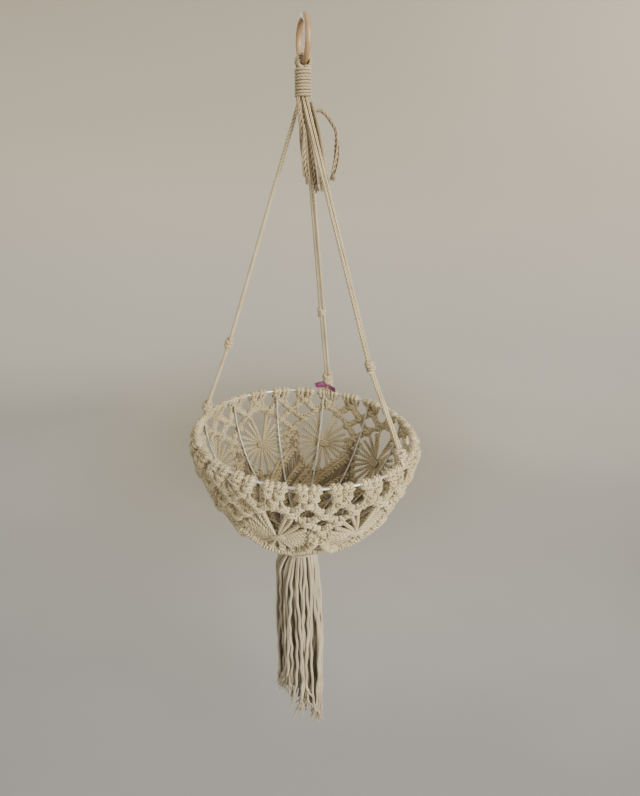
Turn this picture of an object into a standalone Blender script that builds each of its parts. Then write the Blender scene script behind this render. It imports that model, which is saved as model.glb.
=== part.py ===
# Hanging knotted-cord basket on a wooden ring, metres, +Z up, origin where the hook bears in the ring.
import math

import bmesh
import bpy
from mathutils import Matrix, Vector

MM = 0.001

# Cord and clearances
CORD = 3.6 * MM
SEAT_GAP = 0.3 * MM
HINGE_GAP = 0.85 * MM
LAY_GAP = 0.3 * MM
CORD_SIDES_RESOLUTION = 2

# Wooden ring, its plane nearly along the view
RING_BORE = 30 * MM
RING_SECTION = 6 * MM
RING_TURN = math.radians(16)
RING_STEPS = 36
RING_SIDES = 10

# Gathering wrap under the ring
WRAP_CORD = 2.4 * MM
WRAP_PITCH = 2.9 * MM
WRAP_TURNS = 8
WRAP_LOOP_STEPS = 24
HANGER_LOOPS = 3
HANGER_LOOP_STEPS = 12

# Knotted bowl
BOWL_RADIUS = 130 * MM
BOWL_DEPTH = 147 * MM
BOWL_FULLNESS = 1.77
BOWL_TILT = math.radians(2.6)
BOWL_SHIFT = 3.6 * MM
RIM_BELOW_HOOK = 410 * MM
PANEL_THICK = 4 * MM
PROFILE_STEPS = 240

# Rim hoop and ribs of plain wire
HOOP_WIRE = 3 * MM
HOOP_SIDES = 6
HOOP_LAY = 0.7 * MM
RIB_WIRE = 2.2 * MM
RIB_STAND = 1.5 * MM
RIB_COUNT = 12
RIB_STEPS = 9
RIB_TURN = math.radians(170.3)
FOOT_RING_RADIUS = 12 * MM

# Lace band of knot groups over the hoop
FLOWER_COUNT = 8
FLOWER_TURN = math.radians(122.6)
GROUPS_PER_FLOWER = 3
LACE_HEIGHT = 33 * MM
LACE_CURL_TURN = math.radians(205)
LACE_CURL_STEPS = 4
LACE_NOTCH = 5.6 * MM
LACE_EYE_WIDTH = 11 * MM
LACE_EYE_DEPTH = 9 * MM
LACE_EYE_FOOT = 14.5 * MM
LACE_DIAMOND_TOP = 17.5 * MM
LACE_DIAMOND_MID = 22.5 * MM
LACE_DIAMOND_FOOT = 28 * MM
LACE_DIAMOND_WIDTH = 10 * MM
TIE_SLOT = 5.6 * MM
TIE_SLOT_FOOT = 10 * MM
TIE_STEM = 4.4 * MM

# Flower panels
FLOWER_HEIGHT = 80 * MM
FLOWER_SPOKES = 16
FLOWER_HUB_SHARE = 0.3
FLOWER_OPEN_SHARE = 0.82
FLOWER_SPOKE = 3.4 * MM
FLOWER_HUB_RISE = 1.2 * MM
PANEL_SIDE_FACES = 8
PANEL_CORNER_SHARE = 0.78

# Ribbed foot of slanting knot rows
FOOT_COLUMNS = 4
FOOT_ROWS = 6
FOOT_RIDGE = 1.6 * MM
FOOT_POLE_RADIUS = 9 * MM

# Suspension legs: azimuth of each tie, where its mid knot sits
LEG_NAMES = ("left", "rear", "right")
LEG_TURNS = (math.radians(167.6), math.radians(77.6), math.radians(-34.9))
LEG_EXIT_TURNS = (math.radians(175), math.radians(55), math.radians(-65))
LEG_KNOT_SHARES = (0.77, 0.707, 0.753)
LEG_BEND_SHARES = (-0.0104, -0.008, -0.025)
LEG_TIE_HEIGHTS = (12 * MM, 24 * MM, 13 * MM)
KNOT_HEIGHT = 13 * MM
KNOT_WIDTH = 11.5 * MM
KNOT_LOBE_SHARE = 0.09
KNOT_SIDES = 14
KNOT_RING_SHARES = ((-1, 0.78), (-0.62, 0.93), (-0.2, 1), (0.2, 1), (0.62, 0.93), (1, 0.78))

# Gather, binding and tassel under the bowl
GATHER_RADIUS = 18 * MM
GATHER_CROWN = 4 * MM
GATHER_HEIGHT = 8 * MM
GATHER_STEPS = 3
BIND_CORD = 3 * MM
BIND_PITCH = 3.6 * MM
BIND_TURNS = 1
SHOULDER_RADIUS = 21.5 * MM
SHOULDER_THICK = 4 * MM
TASSEL_LENGTH = 305 * MM
TASSEL_SPREAD = 34 * MM
STRAND = 5.6 * MM
STRAND_SIDES = 5
STRAND_RING_COUNTS = (16, 10, 3)
STRAND_RING_SHARES = (0.87, 0.53, 0.2)
STRAND_LENGTH_SHARES = (0.9, 0.97, 0.85, 1, 0.93, 0.82, 0.96, 0.86, 0.94, 0.89, 0.99)
STRAND_DROP_SHARES = (0, 0.09, 0.34, 0.62, 0.84, 1)
STRAND_SPREAD_SHARES = (0, 0.72, 1, 0.9, 0.94, 0.86)
STRAND_WIDTH_SHARES = (1, 1, 0.95, 0.9, 0.95, 0.7)
STRAND_WAVE = 2.2 * MM

# Small film tag under the rear tie
TAG_LENGTH = 27 * MM
TAG_WIDTH = 11 * MM
TAG_THICK = 0.4 * MM
TAG_FOLD = 3 * MM
TAG_PRESS = 1 * MM

# Free tails below the wrap: centreline points down from the wrap's foot, as chosen from the picture
TAIL_ROUTES = {
    "tail_left": (
        (-4.7, -6.7, -3.4), (-2.6, -8.6, 12), (-0.2, -9.6, 26), (0.6, -9.6, 42), (2.4, -9.4, 58), (5.6, -9.4, 72)),
    "tail_front": (
        (0, 0, 0), (0.9, -0.4, 12), (3.4, -1.4, 30), (7.0, -2.0, 48), (10.6, -2.4, 64), (13.6, -2.6, 80)),
    "tail_twisted": (
        (7.7, -2.8, 0), (11.5, -0.6, 12), (15.7, 0.6, 28), (19.0, 0.8, 44), (21.3, 0.8, 58), (23.0, 0.8, 71)),
    "tail_middle": (
        (8.1, 1.1, 0), (9.5, 4.4, 14), (12.2, 4.9, 32), (15.0, 5.1, 50), (17.6, 5.1, 66), (19.6, 5.1, 79)),
    "tail_loop": (
        (7.0, 5.4, -0.1), (8.8, 7.0, 4), (11.0, 8.8, 8.5), (15.7, 9.2, 6.5), (22.0, 9.2, 10.5), (26.9, 9.2, 16.7), (31.0, 9.2, 23),
        (32.4, 9.2, 30), (32.4, 9.2, 40), (31.5, 9.2, 54), (28.7, 9.2, 69)),
}


def clear_scene():
    for thing in list(bpy.data.objects):
        bpy.data.objects.remove(thing, do_unlink=True)


def material(name, colour, roughness, metallic):
    made = bpy.data.materials.new(name)
    made.use_nodes = True
    shader = made.node_tree.nodes["Principled BSDF"]
    shader.inputs["Base Color"].default_value = (*colour, 1)
    shader.inputs["Roughness"].default_value = roughness
    shader.inputs["Metallic"].default_value = metallic
    made.diffuse_color = (*colour, 1)
    return made


def add(name, data, mat, parent):
    thing = bpy.data.objects.new(name, data)
    bpy.context.collection.objects.link(thing)
    data.materials.append(mat)
    if parent is not None:
        thing.parent = parent
    return thing


def mesh_object(name, points, faces, mat, parent=None, smooth=True):
    mesh = bpy.data.meshes.new(name)
    mesh.from_pydata([tuple(point) for point in points], [], faces)
    work = bmesh.new()
    work.from_mesh(mesh)
    bmesh.ops.recalc_face_normals(work, faces=work.faces)
    work.to_mesh(mesh)
    work.free()
    for face in mesh.polygons:
        face.use_smooth = smooth
    return add(name, mesh, mat, parent)


def cord(name, points, width, mat, parent=None, resolution=CORD_SIDES_RESOLUTION, shares=None):
    curve = bpy.data.curves.new(name, "CURVE")
    curve.dimensions = "3D"
    curve.bevel_depth = width / 2
    curve.bevel_resolution = resolution
    curve.use_fill_caps = True
    curve.render_resolution_u = 0
    curve.twist_mode = "MINIMUM"
    line = curve.splines.new("POLY")
    line.points.add(len(points) - 1)
    for at, point in enumerate(points):
        line.points[at].co = (*point, 1)
        line.points[at].radius = shares[at] if shares else 1
    line.use_smooth = True
    return add(name, curve, mat, parent)


def torus_points(radius, section, steps, sides):
    points, faces = [], []
    for i in range(steps):
        turn = math.tau * i / steps
        for k in range(sides):
            lean = math.tau * k / sides
            out = radius + section / 2 * math.cos(lean)
            points.append((out * math.cos(turn), out * math.sin(turn), section / 2 * math.sin(lean)))
            a, b = i * sides + k, i * sides + (k + 1) % sides
            c, d = (i + 1) % steps * sides + k, (i + 1) % steps * sides + (k + 1) % sides
            faces.append((a, b, d, c))
    return points, faces


def lathe(rings, sides, wobble=None):
    """Rings of (height, radius) from one flat end to the other, closed by both end faces."""
    points, faces = [], []
    for at, (height, radius) in enumerate(rings):
        for k in range(sides):
            turn = math.tau * k / sides
            out = radius * (1 + (wobble(at, turn) if wobble else 0))
            points.append((out * math.cos(turn), out * math.sin(turn), height))
    for at in range(len(rings) - 1):
        for k in range(sides):
            a, b = at * sides + k, at * sides + (k + 1) % sides
            faces.append((a, b, b + sides, a + sides))
    faces.append(tuple(reversed(range(sides))))
    faces.append(tuple(range((len(rings) - 1) * sides, len(rings) * sides)))
    return points, faces


def join_closed(name, parts, mat, parent):
    """One solid from closed bodies that pass into each other."""
    made = parts[0]
    for other in parts[1:]:
        tool = made.modifiers.new("join", "BOOLEAN")
        tool.operation = "UNION"
        tool.solver = "EXACT"
        tool.object = other
        bpy.context.view_layer.update()
        graph = bpy.context.evaluated_depsgraph_get()
        mesh = bpy.data.meshes.new_from_object(made.evaluated_get(graph))
        made.modifiers.remove(tool)
        made.data = mesh
        bpy.data.objects.remove(other, do_unlink=True)
    made.name = name
    made.data.name = name
    made.data.materials.clear()
    made.data.materials.append(mat)
    if parent is not None:
        made.parent = parent
    return made


# Bowl profile: a curve from the rim to the pole, read by length along it
def profile_table():
    places = []
    for i in range(PROFILE_STEPS + 1):
        lean = math.pi / 2 * i / PROFILE_STEPS
        out = BOWL_RADIUS * max(math.cos(lean), 0) ** (2 / BOWL_FULLNESS)
        down = -BOWL_DEPTH * math.sin(lean) ** (2 / BOWL_FULLNESS)
        places.append((out, down))
    length, table = 0, [(0, *places[0])]
    for (r0, z0), (r1, z1) in zip(places, places[1:]):
        length += math.hypot(r1 - r0, z1 - z0)
        table.append((length, r1, z1))
    return table


PROFILE = profile_table()
PROFILE_LENGTH = PROFILE[-1][0]
HOOP_RADIUS = BOWL_RADIUS - PANEL_THICK - HOOP_LAY - HOOP_WIRE / 2
CURL_RADIUS = BOWL_RADIUS - HOOP_RADIUS
RIB_DEPTH = PANEL_THICK + RIB_STAND + RIB_WIRE / 2


def profile_at(length):
    """(radius, height, outward normal as radius and height) at a length from the rim."""
    length = min(max(length, 0), PROFILE_LENGTH)
    for (l0, r0, z0), (l1, r1, z1) in zip(PROFILE, PROFILE[1:]):
        if length <= l1:
            share = (length - l0) / (l1 - l0)
            reach = math.hypot(r1 - r0, z1 - z0)
            return r0 + share * (r1 - r0), z0 + share * (z1 - z0), -(z1 - z0) / reach, (r1 - r0) / reach
    return PROFILE[-1][1], PROFILE[-1][2], 0, -1


def bowl_point(turn, length, depth):
    """A point of the bowl: turn about its axis, length from the rim, depth under the outer face.
    Lengths under zero run on around the hoop."""
    if length < 0:
        curl = -length / CURL_RADIUS
        reach = CURL_RADIUS - depth
        out, up = HOOP_RADIUS + reach * math.cos(curl), reach * math.sin(curl)
    else:
        r, z, nr, nz = profile_at(length)
        out, up = r - nr * depth, z - nz * depth
    return Vector((out * math.cos(turn), out * math.sin(turn), up))


def radius_at(length):
    return profile_at(length)[0]


def shell(name, places, faces, mat, parent, rise=None):
    """A wall of PANEL_THICK from flat faces over (turn, length) places, closed along every edge."""
    count = len(places)
    points = []
    for turn, length in places:
        points.append(bowl_point(turn, length, -(rise(turn, length) if rise else 0)))
    for turn, length in places:
        points.append(bowl_point(turn, length, PANEL_THICK))
    edges = {}
    for face in faces:
        for a, b in zip(face, face[1:] + face[:1]):
            edges[a, b] = True
    made = [tuple(face) for face in faces]
    made += [tuple(at + count for at in reversed(face)) for face in faces]
    for a, b in edges:
        if (b, a) not in edges:
            made.append((b, a, a + count, b + count))
    return mesh_object(name, points, made, mat, parent)


class Patch:
    """Collects places once each, so that neighbouring faces share them."""

    def __init__(self):
        self.places, self.known, self.faces = [], {}, []

    def place(self, turn, length):
        whole = round(math.tau * 1e6)
        key = (round(turn * 1e6) % whole, round(length * 1e8))
        if key not in self.known:
            self.known[key] = len(self.places)
            self.places.append((turn, length))
        return self.known[key]

    def face(self, *corners):
        self.faces.append([self.place(*corner) for corner in corners])


def make_lace(parent, mat):
    count = FLOWER_COUNT * GROUPS_PER_FLOWER
    half = math.pi / count
    slots = set()
    for turn in LEG_TURNS:
        steps = (turn - FLOWER_TURN) / (2 * half)
        if abs(steps - round(steps)) < 0.25:
            slots.add(round(steps) % count)

    def angle(width, length):
        return width / radius_at(length)

    for_edge = [
        (half - angle(LACE_NOTCH / 2, 0), 0),
        (half - angle(LACE_NOTCH / 2, 0), LACE_EYE_DEPTH * 0.4),
        (half - angle(LACE_EYE_WIDTH / 2, LACE_EYE_DEPTH), LACE_EYE_DEPTH),
    ]
    patch = Patch()
    for group in range(count):
        centre = FLOWER_TURN + 2 * half * group
        inner = angle(TIE_SLOT / 2, 0) if group in slots else 0
        for side in (1, -1):
            def put(*corners, side=side, centre=centre):
                ring = [(centre + side * turn, length) for turn, length in corners]
                patch.face(*(ring if side > 0 else ring[::-1]))

            top, mid, eye = for_edge
            curl = [-(CURL_RADIUS * LACE_CURL_TURN) * step / LACE_CURL_STEPS for step in range(LACE_CURL_STEPS + 1)]
            for a, b in zip(curl, curl[1:]):
                put((inner, b), (inner, a), (top[0], a), (top[0], b))
            put((inner, 0), (inner, mid[1]), mid, top)
            put((inner, mid[1]), (inner, eye[1]), eye, mid)
            foot = (half, LACE_EYE_FOOT)
            if inner:
                slot_foot = (inner, min(TIE_SLOT_FOOT, LACE_EYE_FOOT))
                put((inner, eye[1]), slot_foot, foot, eye)
                put(slot_foot, (0, slot_foot[1]), (0, LACE_EYE_FOOT), foot)
            else:
                put((0, eye[1]), (0, LACE_EYE_FOOT), foot, eye)
            high, low = (0, LACE_DIAMOND_TOP), (0, LACE_DIAMOND_FOOT)
            wing = (angle(LACE_DIAMOND_WIDTH / 2, LACE_DIAMOND_MID), LACE_DIAMOND_MID)
            edge = (half, LACE_DIAMOND_MID)
            put((0, LACE_EYE_FOOT), high, foot)
            put(high, wing, edge, foot)
            put(wing, low, (half, LACE_HEIGHT), edge)
            put(low, (0, LACE_HEIGHT), (half, LACE_HEIGHT))
    return shell("rim_lace", patch.places, patch.faces, mat, parent)


def make_flower(index, parent, mat):
    """A panel with a hub, spokes and open wedges between them, framed by its straight edges."""
    half = math.pi / FLOWER_COUNT
    centre = FLOWER_TURN + 2 * half * index
    top = LACE_HEIGHT + SEAT_GAP
    middle = top + FLOWER_HEIGHT / 2
    mid_radius = radius_at(middle)

    def place(x, y):
        """x and y run from -1 to 1 over the panel."""
        length = middle + y * FLOWER_HEIGHT / 2
        side = half - SEAT_GAP / 2 / radius_at(length)
        return centre + x * side, length

    def spot(share, turn, along):
        """A point on the wheel, its share of the panel out from the hub, moved along by a length."""
        x, y = share * math.cos(turn), share * math.sin(turn)
        x -= math.sin(turn) * along / (half * mid_radius)
        y += math.cos(turn) * along / (FLOWER_HEIGHT / 2)
        return x, y

    patch = Patch()
    count = FLOWER_SPOKES
    rim = []
    for k in range(2 * count):
        across = k / (2 * count) * 4 * PANEL_SIDE_FACES
        side, part = int(across // PANEL_SIDE_FACES), across % PANEL_SIDE_FACES / PANEL_SIDE_FACES * 2 - 1
        x, y = ((1, part), (-part, 1), (-1, -part), (part, -1))[side]
        if abs(x) == 1 and abs(y) == 1:
            x, y = x * PANEL_CORNER_SHARE if y < 0 else x, y
        rim.append((x, y))
    # the rim list starts at the lower right corner, so it is turned to line up with the first spoke
    rim = rim[PANEL_SIDE_FACES // 2:] + rim[:PANEL_SIDE_FACES // 2]
    inner, outer, walls = [], [], []
    for k in range(count):
        turn = math.tau * k / count
        for sign in (-1, 1):
            inner.append(spot(FLOWER_HUB_SHARE, turn, sign * FLOWER_SPOKE / 2))
            outer.append(spot(FLOWER_OPEN_SHARE, turn, sign * FLOWER_SPOKE / 2))
    hub = (0, 0)
    for k in range(2 * count):
        n = (k + 1) % (2 * count)
        patch.face(place(*hub), place(*inner[k]), place(*inner[n]))
        if k % 2 == 0:
            patch.face(place(*inner[k]), place(*outer[k]), place(*outer[n]), place(*inner[n]))
        patch.face(place(*outer[k]), place(*rim[k]), place(*rim[n]), place(*outer[n]))
    reach = FLOWER_HUB_SHARE * FLOWER_HEIGHT / 2

    def rise(turn, length):
        away = math.hypot((turn - centre) * mid_radius, length - middle)
        return FLOWER_HUB_RISE if away < reach / 2 else 0

    return shell(f"flower_panel_{index + 1}", patch.places, patch.faces, mat, parent, rise)


def make_foot(parent, mat):
    """The closed lower part, its slanting rows of knots as V-shaped ridges."""
    columns = FLOWER_COUNT * FOOT_COLUMNS
    top = LACE_HEIGHT + FLOWER_HEIGHT + 2 * SEAT_GAP
    last = PROFILE_LENGTH
    for length, radius, _ in PROFILE:
        if radius < FOOT_POLE_RADIUS:
            last = length
            break
    patch = Patch()
    for column in range(columns):
        a = FLOWER_TURN + math.tau * column / columns
        b = FLOWER_TURN + math.tau * (column + 1) / columns
        if column == columns - 1:
            b = FLOWER_TURN
        for row in range(FOOT_ROWS):
            s, t = (top + (last - top) * step / FOOT_ROWS for step in (row, row + 1))
            patch.face((a, s), (a, t), (b, t), (b, s))
    pole = patch.place(FLOWER_TURN, PROFILE_LENGTH)
    for column in range(columns):
        a = FLOWER_TURN + math.tau * column / columns
        b = FLOWER_TURN if column == columns - 1 else FLOWER_TURN + math.tau * (column + 1) / columns
        patch.faces.append([patch.place(a, last), pole, patch.place(b, last)])

    def rise(turn, length):
        if length <= top or length >= last:
            return 0
        row = round((length - top) / (last - top) * FOOT_ROWS)
        column = round((turn - FLOWER_TURN) / math.tau * columns) % FOOT_COLUMNS
        slant = abs(column - FOOT_COLUMNS // 2)
        return FOOT_RIDGE if (row + slant) % 2 else 0

    return shell("hitched_foot", patch.places, patch.faces, mat, parent, rise)


def frame_at(point, axis):
    """A matrix that puts local Z along axis at point."""
    turn = Vector((0, 0, 1)).rotation_difference(axis.normalized())
    return Matrix.Translation(point) @ turn.to_matrix().to_4x4()


def knot_body(name, mat, height=KNOT_HEIGHT, width=KNOT_WIDTH, phase=0.0):
    """A tight round knot: three lobes wound once around it, with flat ends where its cords enter."""
    rings = [(share * height / 2, out * width / 2) for share, out in KNOT_RING_SHARES]

    def wobble(at, turn):
        if at in (0, len(rings) - 1):
            return 0
        return KNOT_LOBE_SHARE * math.sin(3 * turn + phase + math.tau * at / len(rings))

    points, faces = lathe(rings, KNOT_SIDES, wobble)
    return mesh_object(name, points, faces, mat)


def parallel_pair(start, end, spread):
    """Starts and ends of two cords side by side between two points, level with each other."""
    along = (end - start).normalized()
    side = along.cross(Vector((0, 0, 1))).normalized() * spread
    return [(start + side, end + side), (start - side, end - side)]


def make_leg(index, tilt, cotton, top, foot):
    name = LEG_NAMES[index]
    turn = LEG_TURNS[index]
    out = Vector((math.cos(turn), math.sin(turn), 0))
    hoop = tilt @ Vector((HOOP_RADIUS * math.cos(turn), HOOP_RADIUS * math.sin(turn), 0))
    up = (tilt.to_3x3() @ Vector((0, 0, 1))).normalized()
    tie_height = LEG_TIE_HEIGHTS[index]
    tie_foot = hoop + up * (CURL_RADIUS + SEAT_GAP)
    spread = (CORD + LAY_GAP) / 2
    # the pair leaves the wrap side by side, with the knot near its line and the tie at its foot
    exit_turn = LEG_EXIT_TURNS[index]
    lead = Vector((math.cos(exit_turn), math.sin(exit_turn), 0))
    start = foot + lead * (spread * math.sqrt(3))
    # the knot leans along its leg, so its foot is lifted until its low edge clears the lace
    lean = (start - tie_foot).angle(up)
    lift = CURL_RADIUS + SEAT_GAP + KNOT_WIDTH / 2 * KNOT_RING_SHARES[0][1] * math.sin(lean)
    tie_foot = hoop + up * lift
    towards = (start - tie_foot).normalized()
    tie_top = tie_foot + towards * tie_height
    line = tie_top - start
    knot = start + line * LEG_KNOT_SHARES[index]
    knot += (out * line.length) * LEG_BEND_SHARES[index]
    first, second = (knot - start).normalized(), (tie_top - knot).normalized()
    middle = (first + second).normalized()
    made = knot_body(f"knot_{name}", cotton, phase=index)
    made.matrix_world = frame_at(knot, middle)
    reach = KNOT_HEIGHT / 2 + SEAT_GAP
    for letter, sign, (_, b) in zip("ab", (-1, 1), parallel_pair(start, knot - middle * reach, spread)):
        turned = exit_turn + sign * math.pi / 6
        a = foot + Vector((math.cos(turned), math.sin(turned), 0)) * (2 * spread)
        cord(f"cord_{name}_upper_{letter}", [a + top - foot, a, a.lerp(b, 1 / 2), b], CORD, cotton)
    for letter, (a, b) in zip("ab", parallel_pair(knot + middle * reach, tie_top - second * SEAT_GAP, spread)):
        cord(f"cord_{name}_lower_{letter}", [a, a.lerp(b, 1 / 2), b], CORD, cotton)
    # the tie: a knot on top and the turn of cord that holds the hoop
    body = knot_body("body", cotton, tie_height, KNOT_WIDTH, phase=index + 1)
    body.matrix_world = frame_at((tie_foot + tie_top) / 2, second)
    loop_radius = HOOP_WIRE / 2 + SEAT_GAP + CORD / 2
    stem_top = lift - loop_radius + tie_height / 4
    points, faces = lathe([(0, TIE_STEM / 2), (stem_top, TIE_STEM / 2)], 10)
    stem = mesh_object("stem", points, faces, cotton)
    stem.matrix_world = frame_at(hoop + up * loop_radius, up)
    apply_place(stem)
    points, faces = torus_points(loop_radius, CORD, 14, 6)
    loop = mesh_object("loop", points, faces, cotton)
    loop.matrix_world = frame_at(hoop, tilt.to_3x3() @ Vector((-math.sin(turn), math.cos(turn), 0)))
    apply_place(body)
    apply_place(loop)
    join_closed(f"tie_{name}", [body, stem, loop], cotton, None)
    return tie_foot, -second


def apply_place(thing):
    bpy.context.view_layer.update()
    thing.data.transform(thing.matrix_world)
    thing.matrix_world = Matrix.Identity(4)


def least_gap(points, width, near):
    """Least gap of a winding tube to itself, between points further apart along it than near."""
    lengths, best = [0], None
    for a, b in zip(points, points[1:]):
        lengths.append(lengths[-1] + (b - a).length)
    for i, a in enumerate(points):
        for j in range(i + 1, len(points)):
            if lengths[j] - lengths[i] > near:
                gap = (a - points[j]).length - width
                best = gap if best is None else min(best, gap)
    return best


def winding(name, radius, width, pitch, turns, foot, mat, axis_at, points_a_loop=WRAP_LOOP_STEPS, parent=None):
    """Turns of one cord laid up around an axis, each end run on straight by one width."""
    points = []
    count = turns * points_a_loop
    for step in range(count + 1):
        turn = math.tau * step / points_a_loop
        points.append(axis_at + Vector((radius * math.cos(turn), radius * math.sin(turn), foot + pitch * step / points_a_loop)))
    points = [points[0] + (points[0] - points[1]).normalized() * width] + points
    points.append(points[-1] + (points[-1] - points[-2]).normalized() * width)
    print(name, "least gap", round(least_gap(points, width, radius * math.pi), 6))
    return cord(name, points, width, mat, parent, resolution=1)


def main():
    clear_scene()
    wood = material("pale_wood", (0.62, 0.47, 0.31), 0.55, 0)
    cotton = material("cotton_cord", (0.68, 0.61, 0.48), 0.95, 0)
    lace_cotton = material("knotted_cotton", (0.66, 0.59, 0.46), 0.95, 0)
    foot_cotton = material("hitched_cotton", (0.62, 0.54, 0.41), 0.95, 0)
    steel = material("bright_wire", (0.72, 0.72, 0.7), 0.35, 1)
    film = material("mauve_film", (0.35, 0.1, 0.24), 0.4, 0)

    # wooden ring, standing on edge, its bore's top at the origin
    ring_radius = (RING_BORE + RING_SECTION) / 2
    ring_centre = -RING_BORE / 2
    points, faces = torus_points(ring_radius, RING_SECTION, RING_STEPS, RING_SIDES)
    ring = mesh_object("wooden_ring", points, faces, wood)
    across = Vector((math.cos(RING_TURN), math.sin(RING_TURN), 0))
    ring.matrix_world = frame_at(Vector((0, 0, ring_centre)), across)

    # loops of cord over the ring's foot, side by side along it
    hinge = Vector((0, 0, ring_centre - ring_radius))
    tangent = Vector((-math.sin(RING_TURN), math.cos(RING_TURN), 0))
    loop_radius = RING_SECTION / 2 + HINGE_GAP + CORD / 2
    leg_reach = (CORD + LAY_GAP) / 2
    under = math.acos(leg_reach / loop_radius)
    wrap_top = hinge.z - loop_radius * math.sin(under)
    wrap_height = WRAP_PITCH * WRAP_TURNS + WRAP_CORD
    wrap_foot = wrap_top - wrap_height
    for at in range(HANGER_LOOPS):
        middle = hinge + tangent * ((at - (HANGER_LOOPS - 1) / 2) * (CORD + LAY_GAP))
        path = []
        for step in range(HANGER_LOOP_STEPS + 1):
            turn = -under + (math.pi + 2 * under) * step / HANGER_LOOP_STEPS
            path.append(middle + across * (loop_radius * math.cos(turn)) + Vector((0, 0, loop_radius * math.sin(turn))))
        ends = [path[0].copy(), path[-1].copy()]
        for end in ends:
            end.z = wrap_top - wrap_height / 2
        cord(f"hanger_loop_{at + 1}", [ends[0], *path, ends[1]], CORD, cotton)

    # the wrap, wound up around the gathered cords
    gathered = math.hypot(leg_reach, (HANGER_LOOPS - 1) * leg_reach) + CORD / 2
    winding("gathering_wrap", gathered + SEAT_GAP + WRAP_CORD / 2, WRAP_CORD, WRAP_PITCH, WRAP_TURNS,
            wrap_foot + WRAP_CORD / 2, cotton, Vector((0, 0, 0)))

    # the bowl hangs slightly tilted
    tilt_empty = bpy.data.objects.new("bowl_tilt", None)
    bpy.context.collection.objects.link(tilt_empty)
    tilt_empty.location = (BOWL_SHIFT, 0, -RIM_BELOW_HOOK)
    tilt_empty.rotation_euler = (0, BOWL_TILT, 0)
    bpy.context.view_layer.update()
    tilt = tilt_empty.matrix_world.copy()

    # its facets line up with those of the lace that curls over it
    points, faces = torus_points(HOOP_RADIUS, HOOP_WIRE, 2 * FLOWER_COUNT * GROUPS_PER_FLOWER, HOOP_SIDES)
    hoop = mesh_object("rim_hoop", points, faces, steel, tilt_empty)
    hoop.rotation_euler = (0, 0, FLOWER_TURN)
    make_lace(tilt_empty, lace_cotton)
    for index in range(FLOWER_COUNT):
        make_flower(index, tilt_empty, lace_cotton)
    make_foot(tilt_empty, foot_cotton)

    # ribs inside the net, from the hoop to a small ring over the pole
    foot_length = PROFILE_LENGTH
    for length, radius, _ in PROFILE:
        if radius < FOOT_RING_RADIUS:
            foot_length = length
            break
    foot_ring = bowl_point(0, foot_length, RIB_DEPTH)
    points, faces = torus_points(foot_ring.x, RIB_WIRE, 16, 6)
    points = [(x, y, z + foot_ring.z) for x, y, z in points]
    mesh_object("foot_ring", points, faces, steel, tilt_empty)
    rib_top = HOOP_WIRE / 2 + SEAT_GAP
    rib_foot = foot_length - RIB_WIRE / 2 - SEAT_GAP
    for index in range(RIB_COUNT):
        turn = RIB_TURN - math.tau * index / RIB_COUNT
        route = []
        for step in range(RIB_STEPS):
            share = step / (RIB_STEPS - 1)
            route.append(bowl_point(turn, rib_top + (rib_foot - rib_top) * share, RIB_DEPTH))
        cord(f"rib_wire_{index + 1:02d}", route, RIB_WIRE, steel, tilt_empty, resolution=1)

    # suspension legs
    inside = Vector((0, 0, wrap_foot + wrap_height / 2 - SEAT_GAP))
    outside = Vector((0, 0, wrap_foot))
    ties = {}
    for index, name in enumerate(LEG_NAMES):
        ties[name] = make_leg(index, tilt, cotton, inside, outside)

    # free tails
    for name, route in TAIL_ROUTES.items():
        path = [Vector((x * MM, y * MM, wrap_foot - SEAT_GAP - CORD / 2 - z * MM)) for x, y, z in route]
        cord(name, smooth_route(path), CORD, cotton)

    # film tag held under the rear tie
    make_tag(*ties["rear"], film)

    # gather, binding and tassel on the line under the pole
    pole = tilt @ Vector((0, 0, -BOWL_DEPTH))
    make_tassel(pole, cotton, foot_cotton)


def smooth_route(path, steps=3):
    """Points along a smooth curve through a hand-chosen route."""
    ends = [path[0] * 2 - path[1]] + path + [path[-1] * 2 - path[-2]]
    made = []
    for a, b, c, d in zip(ends, ends[1:], ends[2:], ends[3:]):
        for step in range(steps):
            t = step / steps
            made.append(0.5 * ((2 * b) + (c - a) * t + (2 * a - 5 * b + 4 * c - d) * t * t + (3 * b - a - 3 * c + d) * t ** 3))
    made.append(path[-1])
    return made


def make_tag(foot, up, mat):
    """A folded scrap of film against the inner side of a tie that stands at foot and leans along up."""
    turn = LEG_TURNS[LEG_NAMES.index("rear")]
    side = Vector((math.sin(turn), -math.cos(turn), 0))
    face = up.cross(side).normalized()
    face = face if face.dot(Vector((math.cos(turn), math.sin(turn), 0))) < 0 else -face
    base = foot + face * (KNOT_WIDTH / 2 * (1 + KNOT_LOBE_SHARE) + SEAT_GAP - TAG_PRESS)
    corners = ((-0.62, 0.1, 0.35), (-0.6, 0.75, 0.5), (-0.16, 1, 0), (0.12, 0.45, 0), (0.4, 0.5, 0.3), (0.38, 0, 0.4), (-0.14, 0, 0))
    points = []
    for x, z, fold in corners:
        points.append(base + side * (x * TAG_LENGTH) + up * (z * TAG_WIDTH) + face * (fold * TAG_FOLD))
    points += [point + face * TAG_THICK for point in points]
    count = len(corners)
    fan = [(0, 1, 2), (0, 2, 6), (6, 2, 3), (6, 3, 5), (3, 4, 5)]
    faces = fan + [tuple(at + count for at in reversed(one)) for one in fan]
    for a in range(count):
        b = (a + 1) % count
        faces.append((b, a, a + count, b + count))
    mesh_object("film_tag", points, faces, mat, smooth=False)


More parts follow.
